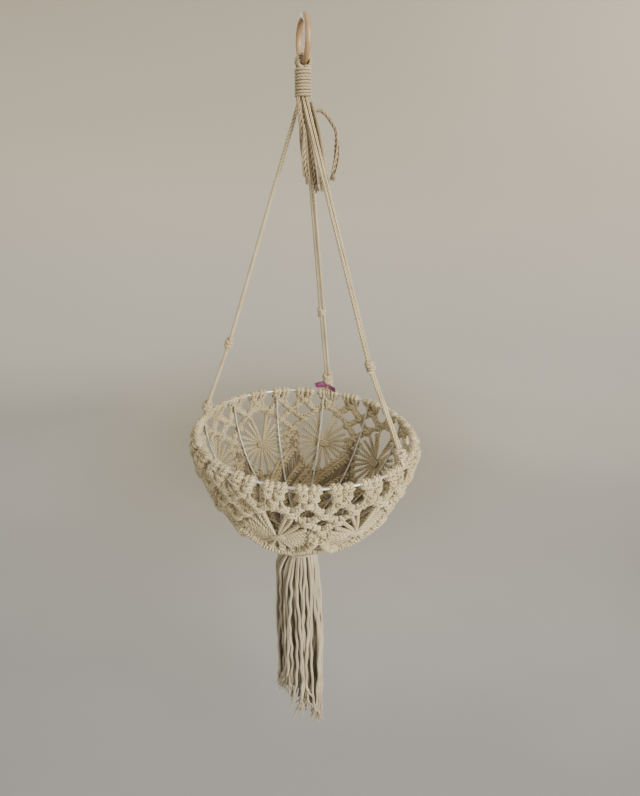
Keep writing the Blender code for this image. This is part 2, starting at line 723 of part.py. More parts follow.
def make_tassel(pole, cotton, strand_cotton):
    hinge = bpy.data.objects.new("tassel_hinge", None)
    bpy.context.collection.objects.link(hinge)
    reach = GATHER_HEIGHT + SEAT_GAP
    hinge.location = pole - Vector((0, 0, reach))
    bpy.context.view_layer.update()
    # the cord ends spread like a low cone from the pole, then the flat shoulder from which the strands hang
    rings = []
    for step in range(GATHER_STEPS + 1):
        share = step / GATHER_STEPS
        rings.append((GATHER_HEIGHT * (1 - share), GATHER_CROWN / 2 + (GATHER_RADIUS - GATHER_CROWN / 2) * share))
    waist = -(BIND_TURNS * BIND_PITCH + BIND_CORD)
    rings.append((waist, GATHER_RADIUS))
    points, faces = lathe(rings, 18)
    gather = mesh_object("tassel_gather", points, faces, cotton, hinge)
    winding("tassel_binding", GATHER_RADIUS + SEAT_GAP + BIND_CORD / 2, BIND_CORD, BIND_PITCH, BIND_TURNS,
            waist + BIND_CORD / 2, cotton, Vector((0, 0, 0)), parent=hinge)

    shoulder_top = waist - SEAT_GAP
    points, faces = lathe([(shoulder_top - SHOULDER_THICK, SHOULDER_RADIUS), (shoulder_top, SHOULDER_RADIUS)], 24)
    shoulder = mesh_object("shoulder", points, faces, cotton)
    points, faces = [], []
    number = 0
    for ring, (count, share) in enumerate(zip(STRAND_RING_COUNTS, STRAND_RING_SHARES)):
        for k in range(count):
            turn = math.tau * (k + 0.5 * (ring % 2)) / count
            length = TASSEL_LENGTH * STRAND_LENGTH_SHARES[number % len(STRAND_LENGTH_SHARES)]
            start = shoulder_top - SHOULDER_THICK / 2
            near = SHOULDER_RADIUS * share
            far = TASSEL_SPREAD * share
            first = len(points)
            for step, (drop, spread, width) in enumerate(zip(STRAND_DROP_SHARES, STRAND_SPREAD_SHARES, STRAND_WIDTH_SHARES)):
                out = near + (far - near) * spread
                wave = STRAND_WAVE * share * math.sin(number * 2.4 + step * 1.9) * min(step, 1)
                at = Vector((out * math.cos(turn) - wave * math.sin(turn), out * math.sin(turn) + wave * math.cos(turn),
                             start - drop * length))
                for side in range(STRAND_SIDES):
                    lean = turn + math.tau * side / STRAND_SIDES
                    points.append(at + Vector((math.cos(lean), math.sin(lean), 0)) * (STRAND * width / 2))
            rows = len(STRAND_DROP_SHARES)
            for row in range(rows - 1):
                for side in range(STRAND_SIDES):
                    a = first + row * STRAND_SIDES + side
                    b = first + row * STRAND_SIDES + (side + 1) % STRAND_SIDES
                    faces.append((a, b, b + STRAND_SIDES, a + STRAND_SIDES))
            faces.append(tuple(first + side for side in range(STRAND_SIDES)))
            faces.append(tuple(first + (rows - 1) * STRAND_SIDES + side for side in reversed(range(STRAND_SIDES))))
            number += 1
    strands = mesh_object("strands", points, faces, strand_cotton)
    join_closed("tassel_strands", [shoulder, strands], strand_cotton, hinge)


main()
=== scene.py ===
import math
import random

import bpy
import numpy as np
from mathutils import Euler, Matrix, Vector


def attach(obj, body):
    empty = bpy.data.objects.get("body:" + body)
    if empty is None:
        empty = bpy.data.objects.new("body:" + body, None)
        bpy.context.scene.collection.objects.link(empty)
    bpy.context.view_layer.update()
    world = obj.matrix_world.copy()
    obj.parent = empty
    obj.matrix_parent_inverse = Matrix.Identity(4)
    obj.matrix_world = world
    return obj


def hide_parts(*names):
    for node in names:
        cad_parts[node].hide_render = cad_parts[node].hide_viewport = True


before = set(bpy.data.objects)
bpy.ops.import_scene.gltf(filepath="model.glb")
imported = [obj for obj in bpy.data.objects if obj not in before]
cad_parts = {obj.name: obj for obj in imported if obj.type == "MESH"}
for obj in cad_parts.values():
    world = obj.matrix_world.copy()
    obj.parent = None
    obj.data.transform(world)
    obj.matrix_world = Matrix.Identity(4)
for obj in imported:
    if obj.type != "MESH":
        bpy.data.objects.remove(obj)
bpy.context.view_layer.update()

MM = 0.001
TAU = math.tau
UP = Vector((0, 0, 1))

# Sizes that the pieces share with the solids
CORD = 3.6 * MM
SEAT_GAP = 0.3 * MM
HINGE_GAP = 0.85 * MM
LAY_GAP = 0.3 * MM
RING_BORE = 30 * MM
RING_SECTION = 6 * MM
RING_TURN = math.radians(16)
WRAP_CORD = 2.4 * MM
WRAP_PITCH = 2.9 * MM
WRAP_TURNS = 8
BOWL_RADIUS = 130 * MM
BOWL_DEPTH = 147 * MM
BOWL_FULLNESS = 1.77
BOWL_TILT = math.radians(2.6)
BOWL_SHIFT = 3.6 * MM
RIM_BELOW_HOOK = 410 * MM
HOOP_WIRE = 3 * MM
HOOP_RADIUS = 123.8 * MM
CURL_RADIUS = BOWL_RADIUS - HOOP_RADIUS
RIB_WIRE = 2.2 * MM
RIB_DEPTH = 6.6 * MM
RIB_COUNT = 12
RIB_TURN = math.radians(170.3)
FOOT_RING_RADIUS = 12 * MM
FLOWER_COUNT = 8
FLOWER_TURN = math.radians(122.6)
LACE_HEIGHT = 33 * MM
FLOWER_HEIGHT = 80 * MM
LEG_NAMES = ("left", "rear", "right")
LEG_TURNS = (math.radians(167.6), math.radians(77.6), math.radians(-34.9))
LEG_EXIT_TURNS = (math.radians(175), math.radians(55), math.radians(-65))
LEG_KNOT_SHARES = (0.77, 0.707, 0.753)
LEG_BEND_SHARES = (-0.0104, -0.008, -0.025)
LEG_TIE_HEIGHTS = (12 * MM, 24 * MM, 13 * MM)
KNOT_HEIGHT = 13 * MM
KNOT_WIDTH = 11.5 * MM
GATHER_RADIUS = 18 * MM
GATHER_HEIGHT = 8 * MM
BIND_CORD = 3 * MM
BIND_PITCH = 3.6 * MM
BIND_TURNS = 1
TASSEL_LENGTH = 305 * MM
CUT_TURN = math.radians(35)
TAIL_ROUTES = {
    "tail_left": (
        (-4.7, -6.7, -3.4), (-2.6, -8.6, 12), (-0.2, -9.6, 26), (0.6, -9.6, 42), (2.4, -9.4, 58),
        (5.6, -9.4, 72)),
    "tail_front": (
        (0, 0, 0), (0.9, -0.4, 12), (3.4, -1.4, 30), (7.0, -2.0, 48), (10.6, -2.4, 64), (13.6, -2.6, 80)),
    "tail_twisted": (
        (7.7, -2.8, 0), (11.5, -0.6, 12), (15.7, 0.6, 28), (19.0, 0.8, 44), (21.3, 0.8, 58), (23.0, 0.8, 71)),
    "tail_middle": (
        (8.1, 1.1, 0), (9.5, 4.4, 14), (12.2, 4.9, 32), (15.0, 5.1, 50), (17.6, 5.1, 66), (19.6, 5.1, 79)),
    "tail_loop": (
        (7.0, 5.4, -0.1), (8.8, 7.0, 4), (11.0, 8.8, 8.5), (15.7, 9.2, 6.5), (22.0, 9.2, 10.5),
        (26.9, 9.2, 16.7), (31.0, 9.2, 23), (32.4, 9.2, 30), (32.4, 9.2, 40), (31.5, 9.2, 54),
        (28.7, 9.2, 69)),
}

# Detail
LAY = 11 * MM
FINE = 1.2 * MM
dice = random.Random(7)

# Places worked out from those sizes
HINGE_Z = -(RING_BORE + RING_SECTION / 2)
LOOP_RADIUS = RING_SECTION / 2 + HINGE_GAP + CORD / 2
LEG_REACH = (CORD + LAY_GAP) / 2
LOOP_UNDER = math.acos(LEG_REACH / LOOP_RADIUS)
WRAP_TOP = HINGE_Z - LOOP_RADIUS * math.sin(LOOP_UNDER)
WRAP_HEIGHT = WRAP_PITCH * WRAP_TURNS + WRAP_CORD
WRAP_FOOT = WRAP_TOP - WRAP_HEIGHT
ACROSS = Vector((math.cos(RING_TURN), math.sin(RING_TURN), 0))
TANGENT = Vector((-math.sin(RING_TURN), math.cos(RING_TURN), 0))
TILT = Matrix.Translation((BOWL_SHIFT, 0, -RIM_BELOW_HOOK)) @ Euler((0, BOWL_TILT, 0)).to_matrix().to_4x4()
POLE = TILT @ Vector((0, 0, -BOWL_DEPTH))


# Points, curves and faces
def polar(turn, reach=1.0, z=0.0):
    """One point or many, at a turn about the plumb line."""
    return np.stack(np.broadcast_arrays(reach * np.cos(turn), reach * np.sin(turn), z), axis=-1)


def placed(points, matrix):
    m = np.array(matrix)
    return points @ m[:3, :3].T + m[:3, 3]


def run(path):
    """The length along a path at each of its points."""
    return np.concatenate([[0], np.cumsum(np.linalg.norm(np.diff(path, axis=0), axis=1))])


def curve(points, steps=12):
    """Points on a smooth curve through the given ones, so many steps to a stretch."""
    points = np.asarray(points, float)
    ends = np.vstack([points[0] * 2 - points[1], points, points[-1] * 2 - points[-2]])
    a, b, c, d = ends[:-3, None], ends[1:-2, None], ends[2:-1, None], ends[3:, None]
    t = np.linspace(0, 1, steps, endpoint=False)[None, :, None]
    bend = (2 * a - 5 * b + 4 * c - d) * t ** 2 + (3 * b - a - 3 * c + d) * t ** 3
    fine = 0.5 * (2 * b + (c - a) * t + bend)
    return np.vstack([fine.reshape(-1, points.shape[1]), points[-1:]])


def spline(points, step=FINE, least=2):
    """A smooth curve through the points, cut into even short steps."""
    fine = curve(points) if len(points) > 2 else np.asarray(points, float)
    length = run(fine)
    at = np.linspace(0, length[-1], max(least, int(round(length[-1] / step)) + 1))
    return np.stack([np.interp(at, length, part) for part in fine.T], axis=1)


def frames(path, hint=(0, 0, 1)):
    """Tangents and two side directions carried along a path without turning about it."""
    ahead = np.gradient(path, axis=0)
    ahead /= np.maximum(np.linalg.norm(ahead, axis=1, keepdims=True), 1e-12)
    start = np.array(hint, float)
    if abs(np.dot(start, ahead[0])) > 0.95:
        start = np.array((1.0, 0.0, 0.0))
    side = np.empty_like(path)
    last = start - ahead[0] * np.dot(start, ahead[0])
    side[0] = last / np.linalg.norm(last)
    for i in range(1, len(path)):
        here = side[i - 1] - ahead[i] * np.dot(side[i - 1], ahead[i])
        side[i] = here / max(np.linalg.norm(here), 1e-12)
    return ahead, side, np.cross(ahead, side)


def wound(path, reach, turn):
    """A path that winds about another one, at a reach and a turn for each point."""
    ahead, side, up = frames(path)
    return path + side * (reach * np.cos(turn))[:, None] + up * (reach * np.sin(turn))[:, None]


def tube_quads(rows, sides):
    """Faces between rows of points that each go once around."""
    k = np.arange(sides)
    n = (k + 1) % sides
    i = np.arange(rows - 1)[:, None] * sides
    return np.stack([i + k, i + n, i + n + sides, i + k + sides], axis=-1).reshape(-1, 4)


def mesh_of(name, verts, faces):
    mesh = bpy.data.meshes.new(name)
    mesh.from_pydata(np.asarray(verts).tolist(), [], faces)
    mesh.shade_smooth()
    return mesh


# Bowl profile, read by length from the rim
def profile_table():
    lean = np.linspace(0, math.pi / 2, 721)
    out = BOWL_RADIUS * np.clip(np.cos(lean), 0, 1) ** (2 / BOWL_FULLNESS)
    down = -BOWL_DEPTH * np.sin(lean) ** (2 / BOWL_FULLNESS)
    length = run(np.stack([out, down], axis=1))
    tr, tz = np.gradient(out, length), np.gradient(down, length)
    size = np.hypot(tr, tz)
    return length, out, down, -tz / size, tr / size


P_LEN, P_R, P_Z, P_NR, P_NZ = profile_table()
PROFILE_LENGTH = float(P_LEN[-1])


def radius_at(length):
    return np.interp(np.clip(length, 0, PROFILE_LENGTH), P_LEN, P_R)


def length_at(radius):
    return float(np.interp(-radius, -P_R, P_LEN))


def bowl(turn, length, out=0.0):
    """World points on the bowl: turn, length from the rim, height over the outer face."""
    far = np.clip(length, 0, PROFILE_LENGTH)
    r = np.interp(far, P_LEN, P_R) + np.interp(far, P_LEN, P_NR) * out
    z = np.interp(far, P_LEN, P_Z) + np.interp(far, P_LEN, P_NZ) * out + np.clip(-length, 0, None)
    return placed(polar(turn, r, z), TILT)


def on_bowl(turn, length, verts):
    """Local points, x along the bowl, y up it and z out of it, laid on the bowl around one place."""
    s = length - verts[:, 1]
    return bowl(turn + verts[:, 0] / np.maximum(radius_at(s), 6 * MM), s, verts[:, 2])


class Yarn:
    """Collects swept cord and other closed bodies into one mesh."""

    def __init__(self):
        self.verts, self.quads, self.caps, self.uvs, self.count = [], [], [], [], 0

    def body(self, verts, quads, caps, uv):
        self.verts.append(verts)
        self.quads.append(quads + self.count)
        self.caps.extend([tuple(int(i) + self.count for i in cap) for cap in caps])
        self.uvs.append(uv)
        self.count += len(verts)

    def sweep(self, path, radius, sides=9, lay=LAY, depth=0.2, taper=((0, 1), (1, 1)), hint=(0, 0, 1),
              squash=1):
        """Cord along a path: three plies that turn once in a lay, or none where lay is None."""
        rows = len(path)
        ahead, side, up = frames(path, hint)
        length = run(path)
        spin = dice.uniform(0, TAU) + (TAU * length / lay if lay else 0 * length)
        around = TAU * np.arange(sides) / sides
        out = radius * (1 - depth * (0.5 - 0.5 * np.cos(3 * around)) if lay else np.ones(sides))
        turn = spin[:, None] + around
        reach = np.interp(np.linspace(0, 1, rows), *zip(*taper))[:, None] * out
        a, b = reach * np.cos(turn), reach * np.sin(turn) * squash
        verts = path[:, None] + a[..., None] * side[:, None] + b[..., None] * up[:, None]
        u0, u1 = (np.repeat(part, sides) / (TAU * radius) for part in (length[:-1], length[1:]))
        v0 = np.tile(np.arange(sides) / sides, rows - 1)
        v1 = v0 + 1 / sides
        uv = np.stack([np.stack(corner, -1) for corner in ((u0, v0), (u0, v1), (u1, v1), (u1, v0))], 1)
        caps = (tuple(reversed(range(sides))), tuple(range((rows - 1) * sides, rows * sides)))
        self.body(verts.reshape(-1, 3), tube_quads(rows, sides), caps, uv)

    def cord(self, points, radius, step=1.2, **more):
        """Cord through points, with its radius and its steps, all in millimetres."""
        self.sweep(spline(np.array(points) * MM, step * MM), radius * MM, **more)

    def copy_of(self, other, verts):
        """The faces of another collection with its points moved to new places."""
        self.body(verts, np.concatenate(other.quads), other.caps, np.concatenate(other.uvs))

    def points(self):
        return np.concatenate(self.verts)

    def piece(self, name, mat, slot, *nodes, body="hanger"):
        """One mesh of all of it, which stands for the nodes and rides a body."""
        uvs = np.concatenate(self.uvs)
        mesh = mesh_of(name, self.points(), np.concatenate(self.quads).tolist() + self.caps)
        flat = np.zeros((len(mesh.loops), 2))
        flat[:uvs.shape[0] * 4] = uvs.reshape(-1, 2)
        mesh.uv_layers.new(name="lay").data.foreach_set("uv", flat.ravel())
        return add(name, mesh, mat, nodes, body)


def add(name, mesh, mat, nodes, body="hanger"):
    thing = bpy.data.objects.new(name, mesh)
    bpy.context.collection.objects.link(thing)
    mesh.materials.append(mat)
    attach(thing, body)
    if nodes:
        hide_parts(*nodes)
    return thing


# Materials
class Look:
    """A material, with short forms for the nodes that it takes."""

    def __init__(self, name):
        self.made = bpy.data.materials.new(name)
        self.made.use_nodes = True
        self.tree = self.made.node_tree
        self.shader = self.tree.nodes["Principled BSDF"]
        place = self.tree.nodes.new("ShaderNodeTexCoord")
        self.uv, self.object = place.outputs["UV"], place.outputs["Object"]

    def feed(self, node, inputs):
        """Each input, by name or number, gets a value or another node's output."""
        for key, value in inputs.items():
            if isinstance(value, bpy.types.NodeSocket):
                self.tree.links.new(value, node.inputs[key])
            else:
                node.inputs[key].default_value = value

    def node(self, kind, inputs, **settings):
        node = self.tree.nodes.new("ShaderNode" + kind)
        for key, value in settings.items():
            setattr(node, key, value)
        self.feed(node, inputs)
        return node

    def maths(self, kind, *values):
        return self.node("Math", dict(enumerate(values)), operation=kind).outputs[0]

    def total(self, *parts):
        """The sum of some outputs, each times its weight."""
        made = 0.0
        for output, weight in parts:
            made = self.maths("MULTIPLY_ADD", output, weight, made)
        return made

    def noise(self, scale, detail, vector, rough=0.55):
        inputs = {"Scale": scale, "Detail": detail, "Roughness": rough, "Vector": vector}
        return self.node("TexNoise", inputs).outputs["Fac"]

    def stretched(self, scale, turn=0.0):
        inputs = {"Vector": self.uv, "Scale": scale, "Rotation": (0, 0, turn)}
        return self.node("Mapping", inputs).outputs["Vector"]

    def ramp(self, source, *stops):
        """Colours along a value, each stop with its place and its colour."""
        node = self.node("ValToRGB", {"Fac": source})
        marks = node.color_ramp.elements
        for mark, (at, colour) in zip(marks, (stops[0], stops[-1])):
            mark.position = at
            mark.color = (*colour, 1)
        for at, colour in stops[1:-1]:
            marks.new(at).color = (*colour, 1)
        return node.outputs["Color"]

    def multiply(self, a, b):
        inputs = {"Factor": 1.0, "A": a, "B": b}
        return self.node("Mix", inputs, data_type="RGBA", blend_type="MULTIPLY").outputs["Result"]

    def bump(self, height, strength, distance):
        node = self.node("Bump", {"Strength": strength, "Distance": distance, "Height": height})
        self.feed(self.shader, {"Normal": node.outputs["Normal"]})


def cotton(name, dark, base, light, painted_groove_shade=(0.5, 0.44, 0.36)):
    """Soft spun cotton: fibres that run along the plies, with slow changes of tone, and painted shade in the
    grooves between the plies.
    """
    look = Look(name)
    fibre = look.noise(3.0, 4, look.stretched((1.6, 22, 1), 0.35), 0.65)
    slow = look.noise(38, 3, look.object)
    speck = look.noise(900, 3, look.object, 0.7)
    shade = look.total((slow, 0.5), (fibre, 0.32), (speck, 0.18))
    colour = look.ramp(shade, (0.3, dark), (0.5, base), (0.68, light))
    # painted shade: the grooves between the three plies are darkened in the colour
    around = look.node("SeparateXYZ", {"Vector": look.uv}).outputs["Y"]
    wave = look.maths("COSINE", look.maths("MULTIPLY", around, 3 * TAU))
    depth = look.ramp(look.maths("MULTIPLY_ADD", wave, 0.5, 0.5), (0.04, painted_groove_shade), (0.5, (1, 1, 1)))
    look.feed(look.shader, {
        "Base Color": look.multiply(colour, depth), "Roughness": 0.92, "Specular IOR Level": 0.18,
        "Sheen Weight": 0.22, "Sheen Roughness": 0.6})
    look.bump(look.total((fibre, 0.7), (speck, 0.6)), 0.55, 0.0006)
    return look.made


def wood(name):
    look = Look(name)
    grain = look.noise(2.4, 5, look.stretched((2.2, 26, 1)), 0.62)
    slow = look.noise(60, 2, look.object)
    pores = look.noise(1500, 2, look.object, 0.7)
    colour = look.ramp(look.total((grain, 0.6), (slow, 0.4)), (0.28, (0.215, 0.125, 0.052)),
                       (0.5, (0.345, 0.222, 0.105)), (0.72, (0.445, 0.308, 0.16)))
    look.feed(look.shader, {
        "Base Color": colour, "Roughness": 0.42, "Coat Weight": 0.12, "Coat Roughness": 0.35})
    look.bump(look.total((grain, 0.6), (pores, 0.3)), 0.25, 0.0003)
    return look.made


def wire(name, dull, base, bright, metallic):
    look = Look(name)
    spangle = look.noise(240, 3, look.object, 0.6)
    scratch = look.noise(1300, 2, look.object, 0.6)
    look.feed(look.shader, {
        "Base Color": look.ramp(spangle, (0.32, dull), (0.5, base), (0.7, bright)), "Metallic": metallic,
        "Roughness": look.ramp(scratch, (0.3, (0.34, 0.34, 0.34)), (0.7, (0.52, 0.52, 0.52)))})
    look.bump(scratch, 0.12, 0.0002)
    return look.made


def film(name):
    look = Look(name)
    crease = look.noise(160, 3, look.object, 0.6)
    colour = look.ramp(crease, (0.3, (0.11, 0.02, 0.065)), (0.5, (0.20, 0.05, 0.13)),
                       (0.72, (0.32, 0.125, 0.235)))
    look.feed(look.shader, {
        "Base Color": colour, "Roughness": 0.3, "Coat Weight": 0.3, "Coat Roughness": 0.2})
    look.bump(crease, 0.6, 0.0012)
    return look.made


CREAM = cotton("cotton_cord_look", (0.35, 0.27, 0.145), (0.52, 0.432, 0.262), (0.66, 0.575, 0.385),
               painted_groove_shade=(0.42, 0.36, 0.27))
KNOTTED = cotton("knotted_cotton_look", (0.35, 0.28, 0.15), (0.53, 0.452, 0.268), (0.66, 0.585, 0.39),
                 painted_groove_shade=(0.45, 0.39, 0.3))
HITCHED = cotton("hitched_cotton_look", (0.30, 0.23, 0.115), (0.46, 0.378, 0.212), (0.60, 0.517, 0.33),
                 painted_groove_shade=(0.5, 0.44, 0.35))
WORN = cotton("worn_cotton_look", (0.25, 0.185, 0.10), (0.375, 0.295, 0.182), (0.49, 0.405, 0.28),
              painted_groove_shade=(0.4, 0.34, 0.26))
# painted shade: a darker copy of the cotton for the laid cords under the hitched rows, so that the gaps
# between the rows read dark
SHADED = cotton("laid_cotton_painted_shade_look", (0.15, 0.116, 0.068), (0.23, 0.184, 0.115), (0.30, 0.253, 0.172))
TASSEL = cotton("tassel_cotton_look", (0.30, 0.24, 0.15), (0.46, 0.40, 0.28), (0.60, 0.545, 0.41))
# painted shade: a darker copy of the tassel cotton for the strands inside the tassel
INNER_PAINTED_SHADE = cotton("inner_cotton_painted_shade_look", (0.17, 0.133, 0.08), (0.28, 0.227, 0.146), (0.39, 0.328, 0.224))
WOOD = wood("pale_wood_look")
WIRE = wire("bright_wire_look", (0.50, 0.50, 0.48), (0.66, 0.65, 0.63), (0.78, 0.77, 0.75), 0.75)
RIB = wire("rib_wire_look", (0.36, 0.33, 0.28), (0.49, 0.455, 0.39), (0.60, 0.565, 0.50), 0.45)
FILM = film("mauve_film_look")

# Camera, backdrop and light
PICTURE_WIDTH_PX = 640
FOCAL_LENGTH_PX = 560
SHIFT_PX = -19
SENSOR_MM = 36
CAMERA_PLACE = (0.0189, -0.5846, -0.1196)
CAMERA_DOWN = math.radians(21.1)
CAMERA_ROLL = math.radians(0.7)
FLOOR_Z = -1.0
FLOOR_REACH = 1.6
WALL_BEND = 0.9
WALL_TOP = 3.1
# where the painted shadow behind the basket is darkest
PAINTED_SHADOW_PLACE = (-0.1, 1.08, FLOOR_Z)


def place_camera():
    data = bpy.data.cameras.new("camera")
    data.sensor_fit = "HORIZONTAL"
    data.sensor_width = SENSOR_MM
    data.lens = FOCAL_LENGTH_PX * SENSOR_MM / PICTURE_WIDTH_PX
    data.shift_y = SHIFT_PX / PICTURE_WIDTH_PX
    data.clip_start = 0.01
    data.dof.use_dof = False
    thing = bpy.data.objects.new("camera", data)
    bpy.context.collection.objects.link(thing)
    down = Euler((math.pi / 2 - CAMERA_DOWN, 0, 0)).to_matrix().to_4x4()
    thing.matrix_world = Matrix.Translation(CAMERA_PLACE) @ down @ Matrix.Rotation(CAMERA_ROLL, 4, "Z")
    bpy.context.scene.camera = thing


def area_light(name, place, target, size, power, colour, spread):
    data = bpy.data.lights.new(name, "AREA")
    data.shape = "RECTANGLE"
    data.size, data.size_y = size
    data.energy = power
    data.color = colour
    data.spread = math.radians(spread)
    thing = bpy.data.objects.new(name, data)
    bpy.context.collection.objects.link(thing)
    thing.location = place
    thing.rotation_euler = (Vector(target) - Vector(place)).to_track_quat("-Z", "Y").to_euler()


def backdrop():
    """A pale floor that curves up all around into a plain wall."""
    rings = [(0.0, 0.0), (FLOOR_REACH / 2, 0.0), (FLOOR_REACH, 0.0)]
    for step in range(1, 13):
        lean = math.pi / 2 * step / 12
        rings.append((FLOOR_REACH + WALL_BEND * math.sin(lean), WALL_BEND * (1 - math.cos(lean))))
    rings.append((FLOOR_REACH + WALL_BEND, WALL_TOP))
    turns = TAU * np.arange(64) / 64
    verts = np.concatenate([polar(turns, r, FLOOR_Z + z) for r, z in rings])
    mesh = mesh_of("backdrop", verts, tube_quads(len(rings), len(turns)).tolist())
    look = Look("backdrop_look")
    at = look.node("SeparateXYZ", {"Vector": look.object}).outputs
    # painted light and shade: the floor darkens towards the camera, the wall is paler and warmer higher up,
    # and both are a little brighter to the right
    behind = look.maths("MAXIMUM", at["Y"], 0.0)
    slow = look.noise(2.0, 2, look.object)
    level = look.total((at["Z"], 0.4), (slow, 0.04), (behind, 0.12), (at["X"], 0.028))
    colour = look.ramp(
        look.maths("ADD", level, 0.48),
        (0.085, (0.29, 0.289, 0.285)), (0.11, (0.3, 0.299, 0.295)), (0.125, (0.335, 0.334, 0.329)),
        (0.142, (0.383, 0.382, 0.375)), (0.165, (0.432, 0.43, 0.416)), (0.2, (0.44, 0.436, 0.418)),
        (0.225, (0.45, 0.442, 0.415)), (0.26, (0.51, 0.496, 0.457)), (0.31, (0.535, 0.519, 0.473)),
        (0.4, (0.528, 0.508, 0.462)), (0.64, (0.59, 0.55, 0.47)), (0.9, (0.57, 0.522, 0.43)))
    # painted shadow: the basket's soft shade, darker and warmer, painted on the floor behind it
    far = look.node("VectorMath", {0: look.object, 1: PAINTED_SHADOW_PLACE}, operation="DISTANCE").outputs["Value"]
    shade = look.ramp(
        far, (0.05, (0.6, 0.56, 0.47)), (0.25, (0.65, 0.61, 0.52)), (0.45, (0.77, 0.735, 0.66)),
        (0.68, (0.9, 0.885, 0.85)), (1.0, (1, 1, 1)))
    shade.node.color_ramp.interpolation = "B_SPLINE"
    look.feed(look.shader, {
        "Base Color": look.multiply(colour, shade), "Roughness": 0.95, "Specular IOR Level": 0.1})
    mesh.materials.append(look.made)
    thing = bpy.data.objects.new("backdrop", mesh)
    bpy.context.collection.objects.link(thing)


def light_scene():
    world = bpy.data.worlds.new("studio")
    bpy.context.scene.world = world
    world.use_nodes = True
    sky = world.node_tree.nodes["Background"]
    sky.inputs["Color"].default_value = (1.0, 0.965, 0.90, 1)
    sky.inputs["Strength"].default_value = 0.62
    middle = (0, 0, -0.42)
    pale = (1.0, 0.975, 0.93)
    # a low window on the right in front, its weaker answer on the left, and one that only meets the wall
    area_light("key", (1.35, -1.3, 0.12), middle, (1.4, 1.6), 25, (1.0, 0.965, 0.89), 80)
    area_light("fill", (-1.5, -1.0, 0.3), middle, (1.4, 1.4), 8, pale, 120)
    area_light("back", (-0.9, 1.5, 0.35), middle, (1.3, 1.3), 7, pale, 120)
    area_light("wall_light", (1.2, 0.35, 0.6), (1.1, 2.4, 0.3), (1.0, 1.0), 27, pale, 150)


place_camera()
light_scene()
backdrop()


# Free tails, along the solids' own routes
def fray(yarn, tip, along, count, length, spread, radius, start_out):
    """Loose fibres that stand out of a cut end."""
    along = along / np.linalg.norm(along)
    side = np.cross(along, (0.3, 0.8, 0.5))
    side /= np.linalg.norm(side)
    other = np.cross(along, side)
    for k in range(count):
        turn = TAU * (k + dice.random()) / count
        out = side * math.cos(turn) + other * math.sin(turn)
        reach = length * dice.uniform(0.5, 1.0)
        wide = spread * dice.uniform(0.4, 1.0)
        start = tip + out * start_out * dice.uniform(0.2, 1.0) - along * 1.2 * MM
        bend = out * math.cos(2) + np.cross(along, out) * math.sin(2)
        path = [start, start + along * reach * 0.5 + out * wide * 0.3 + bend * wide * 0.2,
                start + along * reach + out * wide]
        yarn.sweep(spline(path, 2.0 * MM, 4), radius * dice.uniform(0.7, 1.6), sides=4, lay=None,
                   taper=((0, 1), (0.7, 0.9), (1, 0.3)))


# How a tail's plies swell from its start to its cut end
OPENED = ((0, 1.1), (0.25, 1.42), (0.9, 1.5), (1, 1.5))
TAIL_GROWTH = {
    "tail_twisted": ((0, 1), (0.3, 1.15), (0.9, 1.25), (1, 1.3)),
    "tail_loop": ((0, 1.05), (0.5, 1.05), (0.65, 1.4), (0.95, 1.5), (1, 1.5)),
}


def make_tails():
    for name, route in TAIL_ROUTES.items():
        top = WRAP_FOOT - SEAT_GAP - CORD / 2
        path = spline(curve([Vector((x * MM, y * MM, top - z * MM)) for x, y, z in route], 3), 0.9 * MM)
        yarn = Yarn()
        tight = name == "tail_twisted"
        grown = TAIL_GROWTH.get(name, OPENED)
        fray_length = 7
        line, tip = path[:-fray_length], path[-fray_length]
        yarn.sweep(line, CORD / 2, sides=12, lay=(7.5 if tight else 15) * MM, depth=0.36 if tight else 0.34,
                   squash=0.86, taper=grown)
        if not tight:
            # plies that have come loose lie along the cord
            share = np.linspace(0, 1, len(line))
            opens = 0.5 if name == "tail_loop" else 0.15
            reach = (1.2 + 1.9 * np.clip((share - opens) * 3, 0, 1)) * MM
            for ply in range(3):
                turn = TAU * ply / 3 + 2.6 * share + dice.uniform(0, 1)
                yarn.sweep(wound(line, reach, turn), 0.75 * MM, sides=5, lay=None)
        fray(yarn, tip, tip - path[-fray_length - 3], 60, 8.5 * MM, 1.5 * MM, 0.3 * MM,
             grown[-1][1] * CORD / 2 * 0.7)
        thing = yarn.piece(name + "_cord", WORN, "cotton_cord", name)


make_tails()


# Ring, loops and wrap
def make_ring():
    steps, sides = 128, 28
    i, k = (part.ravel() for part in np.mgrid[:steps, :sides])
    turn, lean = TAU * i / steps, TAU * k / sides
    # a turned ring is a little flat on its bore and its faces
    section = RING_SECTION / 2 * (1 - 0.015 * np.cos(4 * lean))
    reach = (RING_BORE + RING_SECTION) / 2 + section * np.cos(lean)
    verts = (np.outer(reach * np.cos(turn), TANGENT) + np.outer(section * np.sin(lean), ACROSS)
             + np.outer(reach * np.sin(turn) - RING_BORE / 2, UP))
    n, m = (k + 1) % sides, (i + 1) % steps
    quads = np.stack([i * sides + k, m * sides + k, m * sides + n, i * sides + n], axis=1)
    corners = ((i, k), (i + 1, k), (i + 1, k + 1), (i, k + 1))
    yarn = Yarn()
    yarn.body(verts, quads, (), np.stack([np.stack([a / steps * 6, b / sides], 1) for a, b in corners], 1))
    yarn.piece("turned_ring", WOOD, "pale_wood", "wooden_ring", body="ring")


